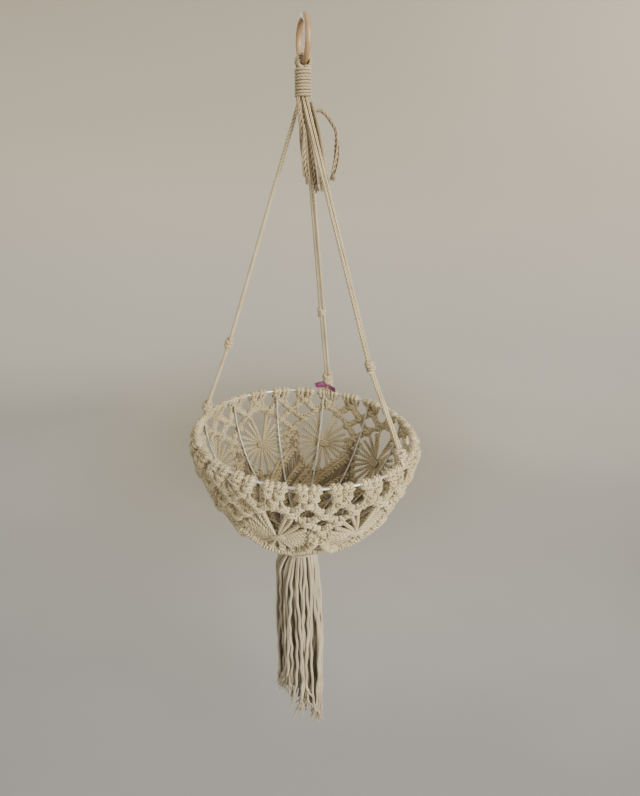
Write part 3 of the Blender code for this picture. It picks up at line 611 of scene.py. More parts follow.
def make_loops():
    yarn = Yarn()
    for at in range(3):
        path = []
        for step in range(25):
            share = step / 24
            turn = -LOOP_UNDER + (math.pi + 2 * LOOP_UNDER) * share
            # strands cross each other a little over the wood
            slide = (at - 1) * (CORD + LAY_GAP) + (share - 0.5) * 1.6 * MM * (1 if at != 1 else -1)
            path.append(TANGENT * slide + ACROSS * (LOOP_RADIUS * math.cos(turn))
                        + UP * (HINGE_Z + LOOP_RADIUS * math.sin(turn)))
        start, end = path[0].copy(), path[-1].copy()
        start.z = end.z = WRAP_TOP - WRAP_HEIGHT / 2
        yarn.sweep(spline([start, *path, end], 0.9 * MM), CORD / 2, sides=12, lay=8.5 * MM, depth=0.26)
    yarn.piece("ring_loops", CREAM, "cotton_cord", "hanger_loop_1", "hanger_loop_2", "hanger_loop_3")


def make_wrap():
    yarn = Yarn()
    per_turn = 28
    bite = 0.6 * MM
    radius = math.hypot(LEG_REACH, 2 * LEG_REACH) + CORD / 2 + SEAT_GAP + WRAP_CORD / 2 - bite
    turns = WRAP_TURNS + 1
    pitch = (WRAP_HEIGHT + bite - WRAP_CORD) / turns
    step = np.arange(per_turn * turns + 1)
    turn = TAU * step / per_turn
    wander = 0.12 * MM * np.sin(turn * 0.37 + 1.3)
    path = polar(turn, radius, WRAP_FOOT + WRAP_CORD / 2 + pitch * step / per_turn + wander)
    # both ends dive in under the turns
    first = path[0] * (0.55, 1, 1) - np.array((0, 2.0, 0.4)) * MM
    last = path[-1] * (0.6, 1, 1) + np.array((0, 2.0, -0.2)) * MM
    yarn.sweep(spline(np.vstack([first, path, last]), 0.8 * MM), WRAP_CORD / 2 * 1.08, lay=9 * MM, depth=0.1)
    # the gathered cords themselves, seen at both ends
    for k in range(6):
        turn = TAU * k / 6 + 0.3
        ends = [polar(turn, CORD + 0.1 * MM, WRAP_FOOT - 1.2 * MM),
                polar(turn + 0.4, CORD + 0.1 * MM, WRAP_TOP - 2 * MM)]
        yarn.sweep(spline(ends), CORD / 2)
    yarn.piece("wound_wrap", CREAM, "cotton_cord", "gathering_wrap")


make_ring()
make_loops()
make_wrap()


# Knot forms, built once at the origin in millimetres: x across, y up, z out
def square_knot(width, height, cord, deep=1.0):
    """Two cords tied right and left over two that hang straight."""
    yarn = Yarn()
    w, h = width / 2 - cord * 0.36, height / 2
    over, under = 2.6 * deep, -1.9 * deep
    first = [(-w * 0.7, h, 0), (-w, h * 0.6, 0.4), (-w * 0.6, h * 0.4, over * 0.8), (0, h * 0.3, over),
             (w * 0.6, h * 0.26, over * 0.7), (w, h * 0.02, 0.2), (w * 0.6, -h * 0.24, over * 0.7),
             (0, -h * 0.3, over), (-w * 0.6, -h * 0.42, over * 0.8), (-w, -h * 0.62, 0.4), (-w * 0.7, -h, 0)]
    second = [(w * 0.7, h, 0), (w, h * 0.62, 0), (w * 0.5, h * 0.4, under), (0, h * 0.3, under),
              (-w * 0.6, h * 0.24, under), (-w * 1.0, h * 0.16, 0.4), (-w * 1.1, 0, 1.9),
              (-w * 1.0, -h * 0.16, 0.4), (-w * 0.6, -h * 0.24, under), (0, -h * 0.3, under),
              (w * 0.5, -h * 0.4, under), (w, -h * 0.62, 0), (w * 0.7, -h, 0)]
    for points in (first, second):
        yarn.cord(points, cord / 2, lay=8 * MM, depth=0.22)
    for x in (-1, 1):
        line = [(x * cord * 0.5, h + 1, 0), (x * cord * 0.45, 0, 0.2), (x * cord * 0.5, -h - 1, 0)]
        yarn.cord(line, cord / 2, 2.4, sides=6, lay=9 * MM, depth=0.16)
    return yarn


def round_knot():
    """A doubled overhand knot: tilted rounds drawn tight over the pair of cords that goes through it."""
    yarn = Yarn()
    height, cord = KNOT_HEIGHT / MM, 3.8
    reach = KNOT_WIDTH / MM / 2 - cord / 2 + 0.1
    stop = height / 2 - cord * 0.45
    for lean, lift, turn in ((0.6, 0.17, 0.2), (-0.62, 0.05, 2.4), (0.5, -0.16, 4.1), (-0.2, -0.24, 5.6)):
        share = np.arange(15) / 14
        a = turn + TAU * 0.98 * share
        flat = polar(a, reach * (1 - 0.12 * np.abs(np.sin(a * 1.5))))
        rise = math.tan(lean) * (flat[:, 0] * 0.75) + lift * height + (share - 0.5) * cord * 0.4
        path = np.stack([flat[:, 0], np.clip(rise, -stop, stop), flat[:, 1]], axis=1)
        # both ends go in under the rounds
        inward = (0.3, 1, 0.3)
        yarn.cord(np.vstack([path[0] * inward, path, path[-1] * inward]), cord / 2, lay=10 * MM, depth=0.16)
    for x in (-1, 1):
        end = height / 2 + 0.8
        line = [(x * cord * 0.52, end, 0), (x * cord * 0.5, 0, 0.6), (x * cord * 0.52, -end, 0)]
        yarn.cord(line, cord / 2, 2, lay=10 * MM, depth=0.16)
    return yarn


def larks_head():
    """A doubled cord folded over the hoop: x along the hoop, y up, z out, the wire's axis at the origin."""
    yarn = Yarn()
    width, cord, flat = 11.6, 4.7, 0.78
    reach = HOOP_WIRE / MM / 2 + cord * flat / 2 - 0.3
    for side in (-1, 1):
        x = side * cord * 0.5
        path = [(x * 0.8, -6.4, 0.6), (x * 0.96, -3.6, reach * 0.8)]
        for k in range(9):
            a = math.radians(-25 + 235 * k / 8)
            path.append((x * (1 + 0.02 * math.sin(a)), reach * math.sin(a), reach * math.cos(a)))
        path += [(x * 1.04, -reach * 1.1, -1.0), (x * 0.9, -6.4, -0.6)]
        yarn.cord(path, cord / 2, 1.1, sides=12, lay=8 * MM, depth=0.26, squash=flat, hint=(1, 0, 0))
    # the fold lies across the wraps in front
    slim = cord * 0.76
    half = [(0.22, -1.9, reach + slim * 0.5), (0.43, -2.8, reach * 0.75), (0.46, -3.4, -0.6)]
    bar = [(-width * x, y, z) for x, y, z in reversed(half)] + [(0, -1.6, reach + slim * 0.74)]
    bar += [(width * x, y, z) for x, y, z in half]
    yarn.cord(bar, slim / 2, 1.1, lay=7 * MM, depth=0.24)
    core = [(width * x, 0, 0) for x in (-0.5, -0.3, 0.3, 0.5)]
    yarn.cord(core, reach, 1.6, sides=10, lay=None, taper=((0, 0.8), (0.3, 1.12), (0.7, 1.12), (1, 0.8)))
    return yarn


def moved(form, turn=0.0, scale=(1, 1, 1)):
    """The points of a knot, scaled and turned in their plane."""
    x, y, z = (form.points() * np.array(scale)).T
    c, s = math.cos(turn), math.sin(turn)
    return np.stack([x * c - y * s, x * s + y * c, z], axis=1)


# Heights over the bowl's outer face, and knots by their name in the net
NET_OUT = -1.6 * MM
KNOTS = {
    "large": square_knot(12.8, 10.4, 4.1, 1.3),
    "wide": square_knot(13.4, 11.0, 4.2, 1.25),
    "small": square_knot(8.4, 7.4, 3.3),
}
HEAD = larks_head()
GROUPS = FLOWER_COUNT * 3
HALF = math.pi / GROUPS
PANEL = math.pi / FLOWER_COUNT
HUB = (LACE_HEIGHT + SEAT_GAP + FLOWER_HEIGHT / 2) / MM
ARM_CORD = 2.0
ARM_PITCH = 10.5
# Rows of knots by length from the rim, in millimetres
PAIR_ROW, CROSS_ROW, ROW_A, ROW_B, ROW_C, APEX_ROW = 7.8, 15.4, 29.5, 42.5, 56.5, 68.0


def tie_knot(yarn, form, turn, x, row, spin=0.0, scale=1.0):
    """A knot in the net, x millimetres along the rim from the turn and row millimetres down from it."""
    made = KNOTS[form]
    size = scale * dice.uniform(0.95, 1.06)
    over = 0 if dice.random() < 0.5 else math.pi
    here = moved(made, spin + dice.uniform(-0.14, 0.14) + over, (size, size, 1))
    here[:, 2] += NET_OUT
    length = (row + dice.uniform(-0.6, 0.6)) * MM
    yarn.copy_of(made, on_bowl(turn + x * MM / BOWL_RADIUS, length, here))


def net_line(turn, points, step=1.2):
    """A line over the net: (millimetres along the bowl from the turn, length from the rim, height out)."""
    x, s, out = (np.asarray(points, float) * MM).T
    return spline(bowl(turn + x / radius_at(s), s, out + NET_OUT), step * MM)


def arm(yarn, turn, a, b, bow=0.0):
    """Two cords wound about each other from one knot to the next, in millimetres."""
    a, b = np.array(a), np.array(b)
    aside = np.array((a[1] - b[1], b[0] - a[0])) / np.linalg.norm(b - a)
    places = []
    for share in (-0.04, 0.33, 0.67, 1.04):
        places.append((*(a + (b - a) * share + aside * bow * math.sin(math.pi * share)), 0.2))
    middle = net_line(turn, places)
    start = dice.uniform(0, TAU)
    for phase in (0, math.pi):
        spin = start + phase + TAU * run(middle) / (ARM_PITCH * MM)
        yarn.sweep(wound(middle, ARM_CORD * 0.94 * MM, spin), ARM_CORD * MM, sides=8, depth=0.24)


def slotted(group):
    """Whether a suspension tie holds the hoop in the middle of this group."""
    for turn in LEG_TURNS:
        steps = (turn - FLOWER_TURN) / (2 * HALF)
        if abs(steps - round(steps)) < 0.25 and round(steps) % GROUPS == group:
            return True
    return False


def make_rim_heads():
    yarn = Yarn()
    for group in range(GROUPS):
        centre = FLOWER_TURN + 2 * HALF * group
        wide = 8.4 if slotted(group) else dice.uniform(5.9, 7.1)
        for side in (-1, 1):
            place = wide * MM * side + dice.uniform(-0.5, 0.5) * MM
            size = dice.uniform(0.94, 1.1)
            x, y, z = moved(HEAD, dice.uniform(-0.09, 0.09), (dice.uniform(1.0, 1.12), size, size)).T
            yarn.copy_of(HEAD, placed(polar(centre + (place + x) / HOOP_RADIUS, HOOP_RADIUS + z, y), TILT))
    return yarn


def span(steps, row):
    """Millimetres along the bowl of so many steps between groups, at a row."""
    return steps * 2 * HALF * float(radius_at(row * MM)) / MM


def make_lace():
    """Knot groups on the hoop: paired knots, an arch between groups, a diamond under each group."""
    knots, cords = Yarn(), Yarn()
    edge = span(0.5, ROW_A)
    far, low = edge - 3.2, ROW_A - 2.4
    for group in range(GROUPS):
        centre = FLOWER_TURN + 2 * HALF * group
        spread = 7.4 if slotted(group) else 5.6
        for side in (-1, 1):
            tie_knot(knots, "large", centre, side * spread, PAIR_ROW, side * 0.12, 0.88)
        tie_knot(knots, "large", centre, 0, CROSS_ROW, scale=0.98)
        start = CROSS_ROW + 3.0
        if group % 3 == 0:
            # one more knot over each flower
            tie_knot(knots, "small", centre, 0, CROSS_ROW + 7.2, scale=1.1)
            start += 4.5
        for side in (-1, 1):
            arm(cords, centre, (side * 3.4, start), (side * far, low), bow=side * 0.8)
            tie_knot(knots, "small", centre, side * (far * 0.52 + 1.2), start + (low - start) * 0.44,
                     side * 0.85, 1.05)
            # one cord of each pair knot runs straight round the hole between the groups
            line = ((side * 8.2, PAIR_ROW + 2.5, 0.2), (side * 8.0, PAIR_ROW + 8.0, 0.5),
                    (side * (edge - 4.6), ROW_A - 4.6, 0.4))
            cords.sweep(net_line(centre, line, 1.3), 1.8 * MM, sides=8, depth=0.24)
        tie_knot(knots, "wide", centre + HALF, 0, ROW_A, scale=1.04)
        for side in (-1, 1):
            tie_knot(knots, "small", centre + HALF, side * 6.2, ROW_A - 4.4, side * -0.6, 0.95)
    return knots, cords


def make_between(index, yarn):
    """The pointed field of knots between one flower and the next."""
    edge = FLOWER_TURN + (2 * index + 1) * PANEL
    reach = span(0.5, ROW_B)
    for side in (-1, 1):
        tie_knot(yarn, "wide", edge + side * HALF, 0, ROW_B, side * 0.06, 1.02)
        arm(yarn, edge, (side * 2.6, ROW_A + 3.0), (side * (reach - 3.0), ROW_B - 2.8))
        arm(yarn, edge, (side * (span(1, ROW_A) - 2.6), ROW_A + 3.0), (side * (reach + 3.0), ROW_B - 2.8))
        arm(yarn, edge, (side * (reach - 2.8), ROW_B + 3.0), (side * 2.8, ROW_C - 2.8))
        tie_knot(yarn, "small", edge, side * reach * 0.52, (ROW_B + ROW_C) / 2, side * -0.8, 1.05)
        tie_knot(yarn, "small", edge, side * reach * 0.5, (ROW_A + ROW_B) / 2, side * 0.8, 0.95)
    tie_knot(yarn, "wide", edge, 0, ROW_C, scale=1.04)
    for side in (-1, 1):
        tie_knot(yarn, "small", edge, side * 4.4, APEX_ROW - side * 1.5, side * 0.3, 1.05)


# Flowers, in millimetres along and down from each one's middle
SPOKES = ((17, 40.5), (27, 38.5), (43, 35.5), (59, 36.0), (74, 36.5), (89, 34.0), (106, 33.5), (123, 34.0),
          (141, 35.0), (160, 36.5))
# A spoke's places by share of its length, with the height out and the share of its sway
SPOKE_LINE = ((0.1, 1.0, 0), (0.25, 0.7, 0.4), (0.5, 0.3, 1), (0.75, 0, 0.6), (1.0, 0, 0))


def flower_place(index, x, y):
    """Turn and length from the rim of a place on a flower."""
    s = (HUB + y) * MM
    return FLOWER_TURN + 2 * PANEL * index + x * MM / radius_at(s), s


def flower_line(index, places, out):
    """A smooth line over a flower through (x, y) places with heights out."""
    turns, lengths = flower_place(index, *np.array(places, float).T)
    return spline(bowl(turns, lengths, np.array(out) * MM + NET_OUT))


def flower_foot(share):
    """The hitched edge under a flower: share -1 to 1 from one neighbour to the next."""
    s = HUB + 38.5 - 52.0 * abs(share) ** 2.9
    return share * float(PANEL * radius_at(s * MM)) / MM, s - HUB


def flower_spokes():
    """Spoke ends, from SPOKES: the lean from straight up in degrees and the length."""
    ends = [(0.0, 37.5)]
    for lean, reach in SPOKES:
        for side in (-1, 1):
            a = math.radians(lean)
            ends.append((side * reach * math.sin(a), -reach * math.cos(a)))
    return ends


def coil(yarn, line, reach, thick, pitch, core, steps):
    """Half hitches side by side: a cord wound in pairs along a line, over a core, in millimetres."""
    length = run(line)
    at = np.linspace(0, length[-1], max(8, int(length[-1] / (pitch * MM) * steps)))
    path = np.stack([np.interp(at, length, part) for part in line.T], axis=1)
    turn = TAU * at / (pitch * MM)
    start = dice.uniform(0, TAU)
    swell = reach * MM * (1 + 0.06 * np.sin(at / (9 * MM) + start))
    yarn.sweep(wound(path, swell, turn + 0.45 * np.sin(turn / 2) + start), thick * MM, sides=6, lay=None)
    yarn.sweep(spline(line, 3 * MM), core * MM, sides=6, lay=None)


def make_flower(index):
    """Spokes of cord from a binding in the middle out to the knots around it."""
    yarn = Yarn()
    for number, (x, y) in enumerate(flower_spokes()):
        size = math.hypot(x, y)
        c, s = x / size, y / size
        sway = dice.uniform(-0.9, 0.9)
        lift = 0.5 if number % 2 else -0.4
        places, out = [], []
        for share, rise, part in SPOKE_LINE:
            places.append((x * share - s * sway * part, y * share + c * sway * part))
            out.append(rise + lift * (1 - share) + dice.uniform(-0.15, 0.15))
        yarn.sweep(flower_line(index, places, out), 2.4 * MM, sides=12, lay=12 * MM, depth=0.24,
                   taper=((0, 0.45), (0.2, 0.66), (0.5, 0.96), (0.85, 1), (1, 0.95)))
        if y > -12:
            # a hitch closes each spoke that ends in the foot
            turn, length = flower_place(index, x, y)
            here = moved(KNOTS["small"], math.atan2(c, s) + dice.uniform(-0.2, 0.2), (0.95, 0.9, 1.1))
            here[:, 2] += NET_OUT
            yarn.copy_of(KNOTS["small"], on_bowl(turn, length, here))
    # a few cords laid over the middle bind the spokes, inside and out
    spin = dice.uniform(-0.3, 0.1) - 0.12
    for out in (2.9, -2.7):
        for k in (-1, 0, 1):
            places, heights = [], []
            for share in (-1, -0.7, 0, 0.7, 1):
                x, y = share * (8.6 - abs(k) * 0.9), k * 3.0 * (1 - 0.25 * share * share)
                places.append((x * math.cos(spin) - y * math.sin(spin),
                               x * math.sin(spin) + y * math.cos(spin)))
                heights.append(out * (1 - 0.62 * share ** 4))
            yarn.sweep(flower_line(index, places, heights), 1.75 * MM, depth=0.24)
    # the hitched edge that the lower spokes end in
    places = [flower_foot(share) for share in np.linspace(-0.93, 0.93, 31)]
    line = flower_line(index, [(x, y + 4.6) for x, y in places], [2.7] * len(places))
    coil(yarn, line, reach=3.0, thick=1.6, pitch=3.7, core=2.4, steps=10)
    return yarn


# The foot: rows to each flower, and bands of laid cords by (outer radius, inner radius, count)
FOOT_ROWS = 8
FOOT_SLANT = math.tan(math.radians(40))
LAID_BANDS = ((123, 96, 196), (98, 68, 150), (70, 40, 104), (42, 22, 62), (23, 10, 30))


def make_foot_rows():
    """Slanting rows of hitches, all turned the same way, from the flowers to the middle of the foot."""
    yarn = Yarn()
    fine = np.linspace(56 * MM, PROFILE_LENGTH - 8 * MM, 240)
    turned = np.cumsum(FOOT_SLANT * np.diff(fine) / radius_at((fine[1:] + fine[:-1]) / 2))
    turned = np.concatenate([[0], turned])
    for index in range(FLOWER_COUNT):
        for row in range(FOOT_ROWS):
            x, y = flower_foot(1 - 2 * (row + 0.5) / FOOT_ROWS)
            turn, length = flower_place(index, x, y + 8.5)
            # every other row stops early, as the middle has no room for all
            stop = 66 if row % 2 else (36 if row % 4 else (20 if index % 2 else 13))
            last = length_at(stop * MM)
            if last - length < 6 * MM:
                continue
            lengths = np.arange(length, last, 2.2 * MM)
            turns = turn + np.interp(lengths, fine, turned) - float(np.interp(length, fine, turned))
            out = np.interp(radius_at(lengths), (16 * MM, 34 * MM), (-1.4 * MM, 0.6 * MM))
            line = spline(bowl(turns, lengths, out + NET_OUT), 1.5 * MM)
            coil(yarn, line, reach=2.3, thick=2.05, pitch=5.4, core=1.9, steps=8)
            # the carried cord shows as a smooth ridge inside, beside its hitches
            turns = turns + PANEL / FOOT_ROWS
            inner = spline(bowl(turns, lengths, -2.5 * MM + NET_OUT), 1.8 * MM)
            yarn.sweep(inner, 2.3 * MM, lay=18 * MM, depth=0.16)
            tie = moved(KNOTS["small"], 0.7, (0.9, 0.9, 1.1))
            tie[:, 2] += NET_OUT - 1.4 * MM
            yarn.copy_of(KNOTS["small"], on_bowl(turns[0], lengths[0], tie))
    return yarn


def make_foot_cords():
    """Cords that run down under the rows, closely side by side, as far as they have room."""
    yarn = Yarn()
    for number, (start, stop, count) in enumerate(LAID_BANDS):
        first, last = length_at(start * MM), length_at(stop * MM)
        lengths = np.linspace(first, last, max(5, int((last - first) / (3.5 * MM))))
        for k in range(count):
            turn = TAU * (k + 0.5 * (number % 2)) / count
            here = lengths
            if number < 2:
                # under a flower these cords begin at its hitched edge
                share = ((turn - FLOWER_TURN + PANEL) % (2 * PANEL) - PANEL) / PANEL
                here = lengths[lengths > (HUB + flower_foot(share)[1] + 2) * MM]
                if len(here) < 3:
                    if number == 0:
                        continue
                    here = lengths[-3:]
            sway = 0.6 * MM * np.sin(here / (12 * MM) + k)
            line = bowl(turn + sway / radius_at(here), here, -0.2 * MM + NET_OUT)
            yarn.sweep(line, 1.9 * MM, sides=6, lay=None)
    return yarn


make_rim_heads().piece("rim_heads", KNOTTED, "knotted_cotton")
net, net_cords = make_lace()
net.piece("knotted_net", KNOTTED, "knotted_cotton", "rim_lace")
net_cords.piece("net_cords", KNOTTED, "knotted_cotton")
fields = Yarn()
for index in range(FLOWER_COUNT):
    make_between(index, fields)
fields.piece("knot_fields", KNOTTED, "knotted_cotton")
for index in range(FLOWER_COUNT):
    make_flower(index).piece(f"flower_{index + 1}", KNOTTED, "knotted_cotton", f"flower_panel_{index + 1}")
make_foot_rows().piece("hitched_rows", HITCHED, "hitched_cotton", "hitched_foot")
# the laid cords take the darker copy of the cotton: painted shade between the rows
make_foot_cords().piece("laid_cords", SHADED, "hitched_cotton")


# Wire: hoop, ribs and foot ring
def make_wire():
    yarn = Yarn()
    turns = TAU * np.arange(181) / 180
    wobble = 0.25 * MM * np.sin(turns * 3 + 0.6)
    hoop = placed(polar(turns, HOOP_RADIUS + wobble, 0.2 * MM * np.sin(turns * 2)), TILT)
    yarn.sweep(hoop, HOOP_WIRE / 2, sides=12, lay=None)
    yarn.piece("hoop_wire", WIRE, "bright_wire", "rim_hoop")
    foot_length = length_at(FOOT_RING_RADIUS)
    hook = 2.6 * MM
    for number in range(RIB_COUNT):
        turn = RIB_TURN - TAU * number / RIB_COUNT
        yarn = Yarn()
        inner = bowl(turn, np.linspace(5 * MM, foot_length - 1 * MM, 14), -RIB_DEPTH)
        # the wire's top is bent over the hoop and back down inside
        lean = np.radians(-50 + 215 * np.arange(7) / 6)
        top = placed(polar(turn, HOOP_RADIUS + hook * np.cos(lean), hook * np.sin(lean)), TILT)
        yarn.sweep(spline(np.vstack([top, inner]), 1.5 * MM), RIB_WIRE / 2 * 1.12, sides=10, lay=None)
        yarn.piece(f"rib_{number + 1:02d}", RIB, "bright_wire", f"rib_wire_{number + 1:02d}")
    yarn = Yarn()
    turns = TAU * np.arange(41) / 40
    yarn.sweep(bowl(turns, foot_length, -RIB_DEPTH - 1.6 * MM), RIB_WIRE / 2, sides=10, lay=None)
    yarn.piece("foot_wire", WIRE, "bright_wire", "foot_ring")


make_wire()

# Suspension legs
ROUND = round_knot()


def frame_at(point, axis):
    turn = UP.rotation_difference(axis.normalized())
    return Matrix.Translation(point) @ turn.to_matrix().to_4x4()


def put(points, matrix):
    """Template points, whose y is along the cord, set so that y follows the matrix's z."""
    return placed(points[:, (0, 2, 1)] * (1, -1, 1), matrix)


def parallel_pair(start, end, spread):
    side = (end - start).normalized().cross(UP).normalized() * spread
    return [(start + side, end + side), (start - side, end - side)]


def leg_cord(points, name, node):
    yarn = Yarn()
    yarn.sweep(spline(points, 1.05 * MM), CORD / 2, sides=12, depth=0.24)
    yarn.piece(name, CREAM, "cotton_cord", node)


def make_leg(index):
    name = LEG_NAMES[index]
    turn = LEG_TURNS[index]
    out = Vector(polar(turn))
    hoop = TILT @ (out * HOOP_RADIUS)
    up = (TILT.to_3x3() @ UP).normalized()
    tie_height = LEG_TIE_HEIGHTS[index]
    foot = Vector((0, 0, WRAP_FOOT))
    exit_turn = LEG_EXIT_TURNS[index]
    start = foot + Vector(polar(exit_turn)) * (LEG_REACH * math.sqrt(3))
    lean = (start - hoop - up * (CURL_RADIUS + SEAT_GAP)).angle(up)
    tie_foot = hoop + up * (CURL_RADIUS + SEAT_GAP + KNOT_WIDTH / 2 * 0.78 * math.sin(lean))
    tie_top = tie_foot + (start - tie_foot).normalized() * tie_height
    line = tie_top - start
    knot = start + line * LEG_KNOT_SHARES[index] + (out * line.length) * LEG_BEND_SHARES[index]
    first, second = (knot - start).normalized(), (tie_top - knot).normalized()
    middle = (first + second).normalized()
    # the knot halfway
    spin = Matrix.Rotation(index * 1.9 + 0.4, 4, "Z")
    yarn = Yarn()
    yarn.copy_of(ROUND, put(ROUND.points(), frame_at(knot, middle) @ spin))
    yarn.piece(f"halfway_knot_{name}", CREAM, "cotton_cord", f"knot_{name}")
    reach = KNOT_HEIGHT / 2 - 1.5 * MM
    inside = Vector((0, 0, WRAP_HEIGHT / 2 - SEAT_GAP))
    for letter, sign, (_, b) in zip("ab", (-1, 1), parallel_pair(start, knot - middle * reach, LEG_REACH)):
        a = foot + Vector(polar(exit_turn + sign * math.pi / 6)) * (2 * LEG_REACH)
        path = [a + inside, a + UP * (2 * MM)] + [a.lerp(b, share) for share in (0.02, 0.25, 0.5, 0.75)] + [b]
        leg_cord(path, f"leg_{name}_upper_{letter}", f"cord_{name}_upper_{letter}")
    lower = parallel_pair(knot + middle * reach, tie_top + second * 1.5 * MM, LEG_REACH)
    for letter, (a, b) in zip("ab", lower):
        leg_cord([a, a.lerp(b, 0.5), b], f"leg_{name}_lower_{letter}", f"cord_{name}_lower_{letter}")
    # the tie on the hoop
    yarn = Yarn()
    facing = frame_at((tie_foot + tie_top) / 2, -second)
    # the sinnet's face looks at the middle of the bowl
    local = facing.to_3x3().inverted() @ (-out)
    facing = facing @ Matrix.Rotation(math.atan2(local.y, local.x) + math.pi / 2, 4, "Z")
    if name == "rear":
        form = KNOTS["large"]
        for k in (-1, 0, 1):
            here = Matrix.Translation((0, 0, k * 8 * MM))
            yarn.copy_of(form, put(moved(form, scale=(1.0, 0.85, 1.25)), facing @ here))
    else:
        size = tie_height / KNOT_HEIGHT
        yarn.copy_of(ROUND, put(moved(ROUND, scale=(1.18, size * 1.06, 1.18)), facing))
    side = TILT.to_3x3() @ Vector(polar(turn + math.pi / 2))
    # two turns of cord around the hoop, both ends up into the knot
    for shift in (-1, 1):
        path = [tie_foot + up * 2 * MM + side * shift * 0.8 * MM]
        for k in range(11):
            lean = math.radians(70 - shift * 320 * k / 10)
            ring = out * math.cos(lean) + up * math.sin(lean)
            path.append(hoop + ring * (HOOP_WIRE / 2 + CORD / 2) + side * shift * (0.6 + 0.16 * k) * MM)
        path.append(tie_foot + up * 2 * MM - out * 1.5 * MM + side * shift * 1.6 * MM)
        yarn.sweep(spline(path, 1.1 * MM), CORD / 2 * 0.92)
    yarn.piece(f"hoop_tie_{name}", CREAM, "cotton_cord", f"tie_{name}")
    return tie_foot, -second


ties = {name: make_leg(index) for index, name in enumerate(LEG_NAMES)}

# Film tag under the rear tie: places along it with the low and high edge and the fold, as shares
TAG_LENGTH = 27 * MM
TAG_HEIGHT = 11 * MM
TAG_OUTLINE = (
    (-0.62, 0.08, 0.72, 0.4), (-0.5, 0.02, 0.86, 0.5), (-0.36, 0, 0.96, 0.25), (-0.2, 0, 0.98, 0.02),
    (-0.1, 0.02, 0.8, 0.0), (0.04, 0.0, 0.5, 0.0), (0.14, -0.24, 0.46, 0.15), (0.27, -0.48, 0.44, 0.45),
    (0.41, -0.42, 0.3, 0.6))


def make_tag(foot, up):
    turn = LEG_TURNS[LEG_NAMES.index("rear")]
    side = Vector(polar(turn - math.pi / 2))
    face = up.cross(side).normalized()
    face = face if face.dot(Vector(polar(turn))) < 0 else -face
    base = foot + face * (KNOT_WIDTH / 2 * 1.09 + SEAT_GAP - 1 * MM)
    rows, across = len(TAG_OUTLINE), 7
    front = []
    for at, (x, low, high, fold) in enumerate(TAG_OUTLINE):
        for k in range(across):
            z = low + (high - low) * k / (across - 1)
            ripple = 0.12 * math.sin(at * 1.7 + k * 1.1)
            front.append(base + side * (x * TAG_LENGTH) + up * (z * TAG_HEIGHT + 3.5 * MM)
                         + face * ((fold + ripple) * 3 * MM))
    verts = front + [point + face * 0.3 * MM for point in front]
    count = rows * across
    faces = []
    for i in range(rows - 1):
        for k in range(across - 1):
            a, b = i * across + k, i * across + k + 1
            c, d = b + across, a + across
            faces += [(a, b, c, d), (d + count, c + count, b + count, a + count)]
    edge = [i * across for i in range(rows)] + [(rows - 1) * across + k for k in range(1, across)]
    edge += [i * across + across - 1 for i in range(rows - 2, -1, -1)] + list(range(across - 2, 0, -1))
    for a, b in zip(edge, edge[1:] + edge[:1]):
        faces.append((a, a + count, b + count, b))
    thing = add("folded_film", mesh_of("film", verts, faces), FILM, ["film_tag"])


make_tag(*ties["rear"])

# Tassel: strands in an outer, a middle and an inner round
GATHERED_COUNT = 32
BIND_DROP = 4.5 * MM
STRAND_STEPS = 32


def make_gather(base, waist):
    """Cord ends that come out of the foot and spread like a low cone."""
    yarn = Yarn()
    for k in range(GATHERED_COUNT):
        turn = TAU * k / GATHERED_COUNT
        path = []
        for share in (0.0, 0.3, 0.6, 0.85, 1.0):
            r = (2.0 + (GATHER_RADIUS / MM - 3.8) * share) * MM
            z = (GATHER_HEIGHT / MM * (1 - share ** 1.4) - 1.4) * MM
            path.append(polar(turn + 0.3 * (1 - share), r, z))
        path += [polar(turn, GATHER_RADIUS - 1.9 * MM, z) for z in (waist * 0.6, waist)]
        yarn.sweep(spline(np.array(path) + base, 1.3 * MM), 1.85 * MM, sides=8,
                   taper=((0, 0.5), (0.4, 1), (1, 1)))
    # a plain core closes the middle
    core = [(0, 0, GATHER_HEIGHT - 3 * MM), (0, 0, 0), (0, 0, waist)]
    yarn.sweep(spline(np.array(core) + base, 1.5 * MM), GATHER_RADIUS - 3.4 * MM, sides=20, lay=None,
               taper=((0, 0.3), (0.2, 0.6), (0.45, 0.95), (0.6, 1), (1, 1)))
    yarn.piece("gathered_ends", HITCHED, "cotton_cord", "tassel_gather", body="tassel")


def make_binding(base, waist):
    yarn = Yarn()
    per_turn = 36
    step = np.arange(per_turn * (BIND_TURNS + 1) + 1)
    path = polar(TAU * step / per_turn + 2.0, GATHER_RADIUS + SEAT_GAP + BIND_CORD / 2,
                 waist + BIND_CORD / 2 + BIND_PITCH * 1.1 * step / per_turn)
    inward = (0.8, 0.8, 1)
    path = np.vstack([path[0] * inward, path, path[-1] * inward])
    yarn.sweep(spline(path + base, 1.1 * MM), BIND_CORD / 2 * 1.1, lay=9 * MM)
    yarn.piece("tassel_wrap", CREAM, "cotton_cord", "tassel_binding", body="tassel")


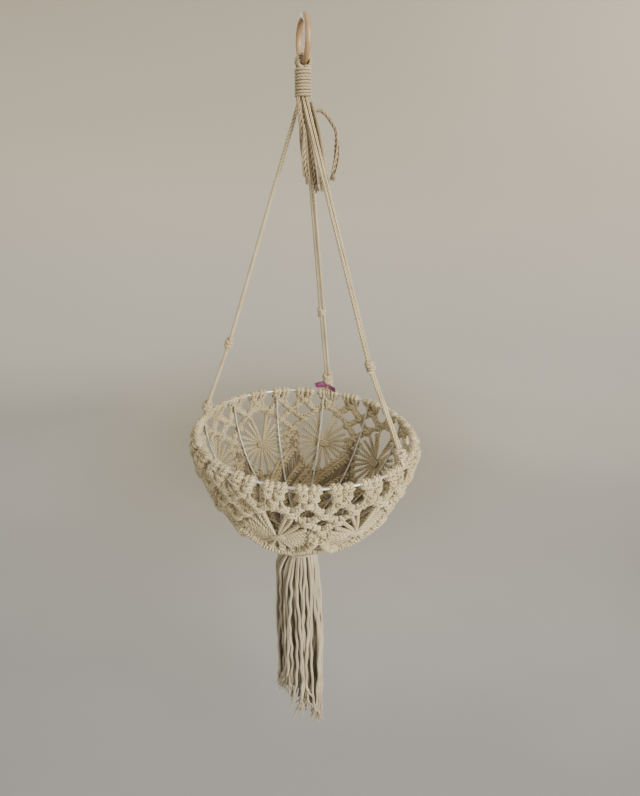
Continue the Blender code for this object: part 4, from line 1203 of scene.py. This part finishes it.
def strand_path(turn, shoulder, near, far, number):
    """A strand's way down from the binding: it bulges, waves, kinks and curls at its end."""
    # cut on a slant, shortest at the left
    share = 0.83 + 0.14 * math.cos(turn - CUT_TURN) + dice.uniform(-0.04, 0.03)
    length = (TASSEL_LENGTH - 9 * MM) * min(1.0, share)
    wave = dice.uniform(0.5, 2.6) * MM
    rate = dice.uniform(0.7, 1.8)
    kink = dice.uniform(0.3, 1.1) * MM
    tight = dice.uniform(2.5, 7.5)
    start = dice.uniform(0, TAU)
    drift = dice.uniform(-0.12, 0.12) + (dice.uniform(-0.5, 0.5) if number % 6 == 0 else 0)
    curl = dice.uniform(-5, 5) * MM
    # the ends bulge at once on the left and slowly on the right
    lag = 0.07 + 0.5 * (0.5 + 0.5 * math.cos(turn)) ** 1.5
    down = np.arange(STRAND_STEPS + 1) / STRAND_STEPS
    loose = np.minimum(1, down * 5)
    swell = near + (far - near) * np.minimum(1, down / lag) ** 0.7 * (1 - 0.24 * np.maximum(0, down - 0.5))
    swell *= 1 + 0.05 * np.sin(start + down * 5)
    side = wave * np.sin(start + down * TAU * rate) + kink * np.sin(start * 3 + down * TAU * tight)
    side = side * loose + curl * np.maximum(0, down - 0.88) / 0.12
    reach = wave * 0.4 * np.cos(start * 2 + down * 7) + kink * 0.8 * np.cos(start + down * TAU * tight)
    a = turn + drift * down
    path = polar(a, swell * MM + reach * loose, shoulder - down * length) + polar(a + math.pi / 2, side)
    return np.vstack([polar(turn, (near - 1.5) * MM, shoulder + 3 * MM), path])


def make_tassel():
    base = np.array(POLE) - (0, 0, GATHER_HEIGHT + SEAT_GAP)
    waist = -(BIND_TURNS * BIND_PITCH + BIND_CORD) - BIND_DROP
    make_gather(base, waist)
    make_binding(base, waist)
    outer, inner = Yarn(), Yarn()
    rounds = ((outer, 42, 17.6, 29.4, 1.8), (inner, 20, 12.5, 20.5, 2.4), (inner, 10, 6.0, 10.5, 3.0))
    for strands, count, near, far, step in rounds:
        for k in range(count):
            turn = TAU * (k + dice.uniform(-0.4, 0.4)) / count
            line = spline(strand_path(turn, waist - SEAT_GAP, near, far, k) + base, step * MM)
            if strands is inner:
                strands.sweep(line, 2.2 * MM, sides=6, lay=None, taper=((0, 1), (0.9, 1), (1, 0.75)))
                continue
            strands.sweep(line, 2.25 * MM, sides=10, lay=12 * MM, depth=0.3,
                          taper=((0, 0.8), (0.1, 0.92), (0.85, 1), (0.97, 0.92), (1, 0.75)))
            # loose plies first, then fine fibres
            for fibres, length, spread, radius, start_out in ((4, 24, 8, 0.9, 1.0), (16, 12, 5, 0.3, 1.6)):
                fray(strands, line[-1], line[-1] - line[-5], fibres, length * MM, spread * MM, radius * MM,
                     start_out * MM)
    outer.piece("hanging_ends", TASSEL, "hitched_cotton", "tassel_strands", body="tassel")
    # the middle and inner strands take the darker cotton: painted shade inside the tassel
    inner.piece("inner_ends", INNER_PAINTED_SHADE, "hitched_cotton", body="tassel")


make_tassel()
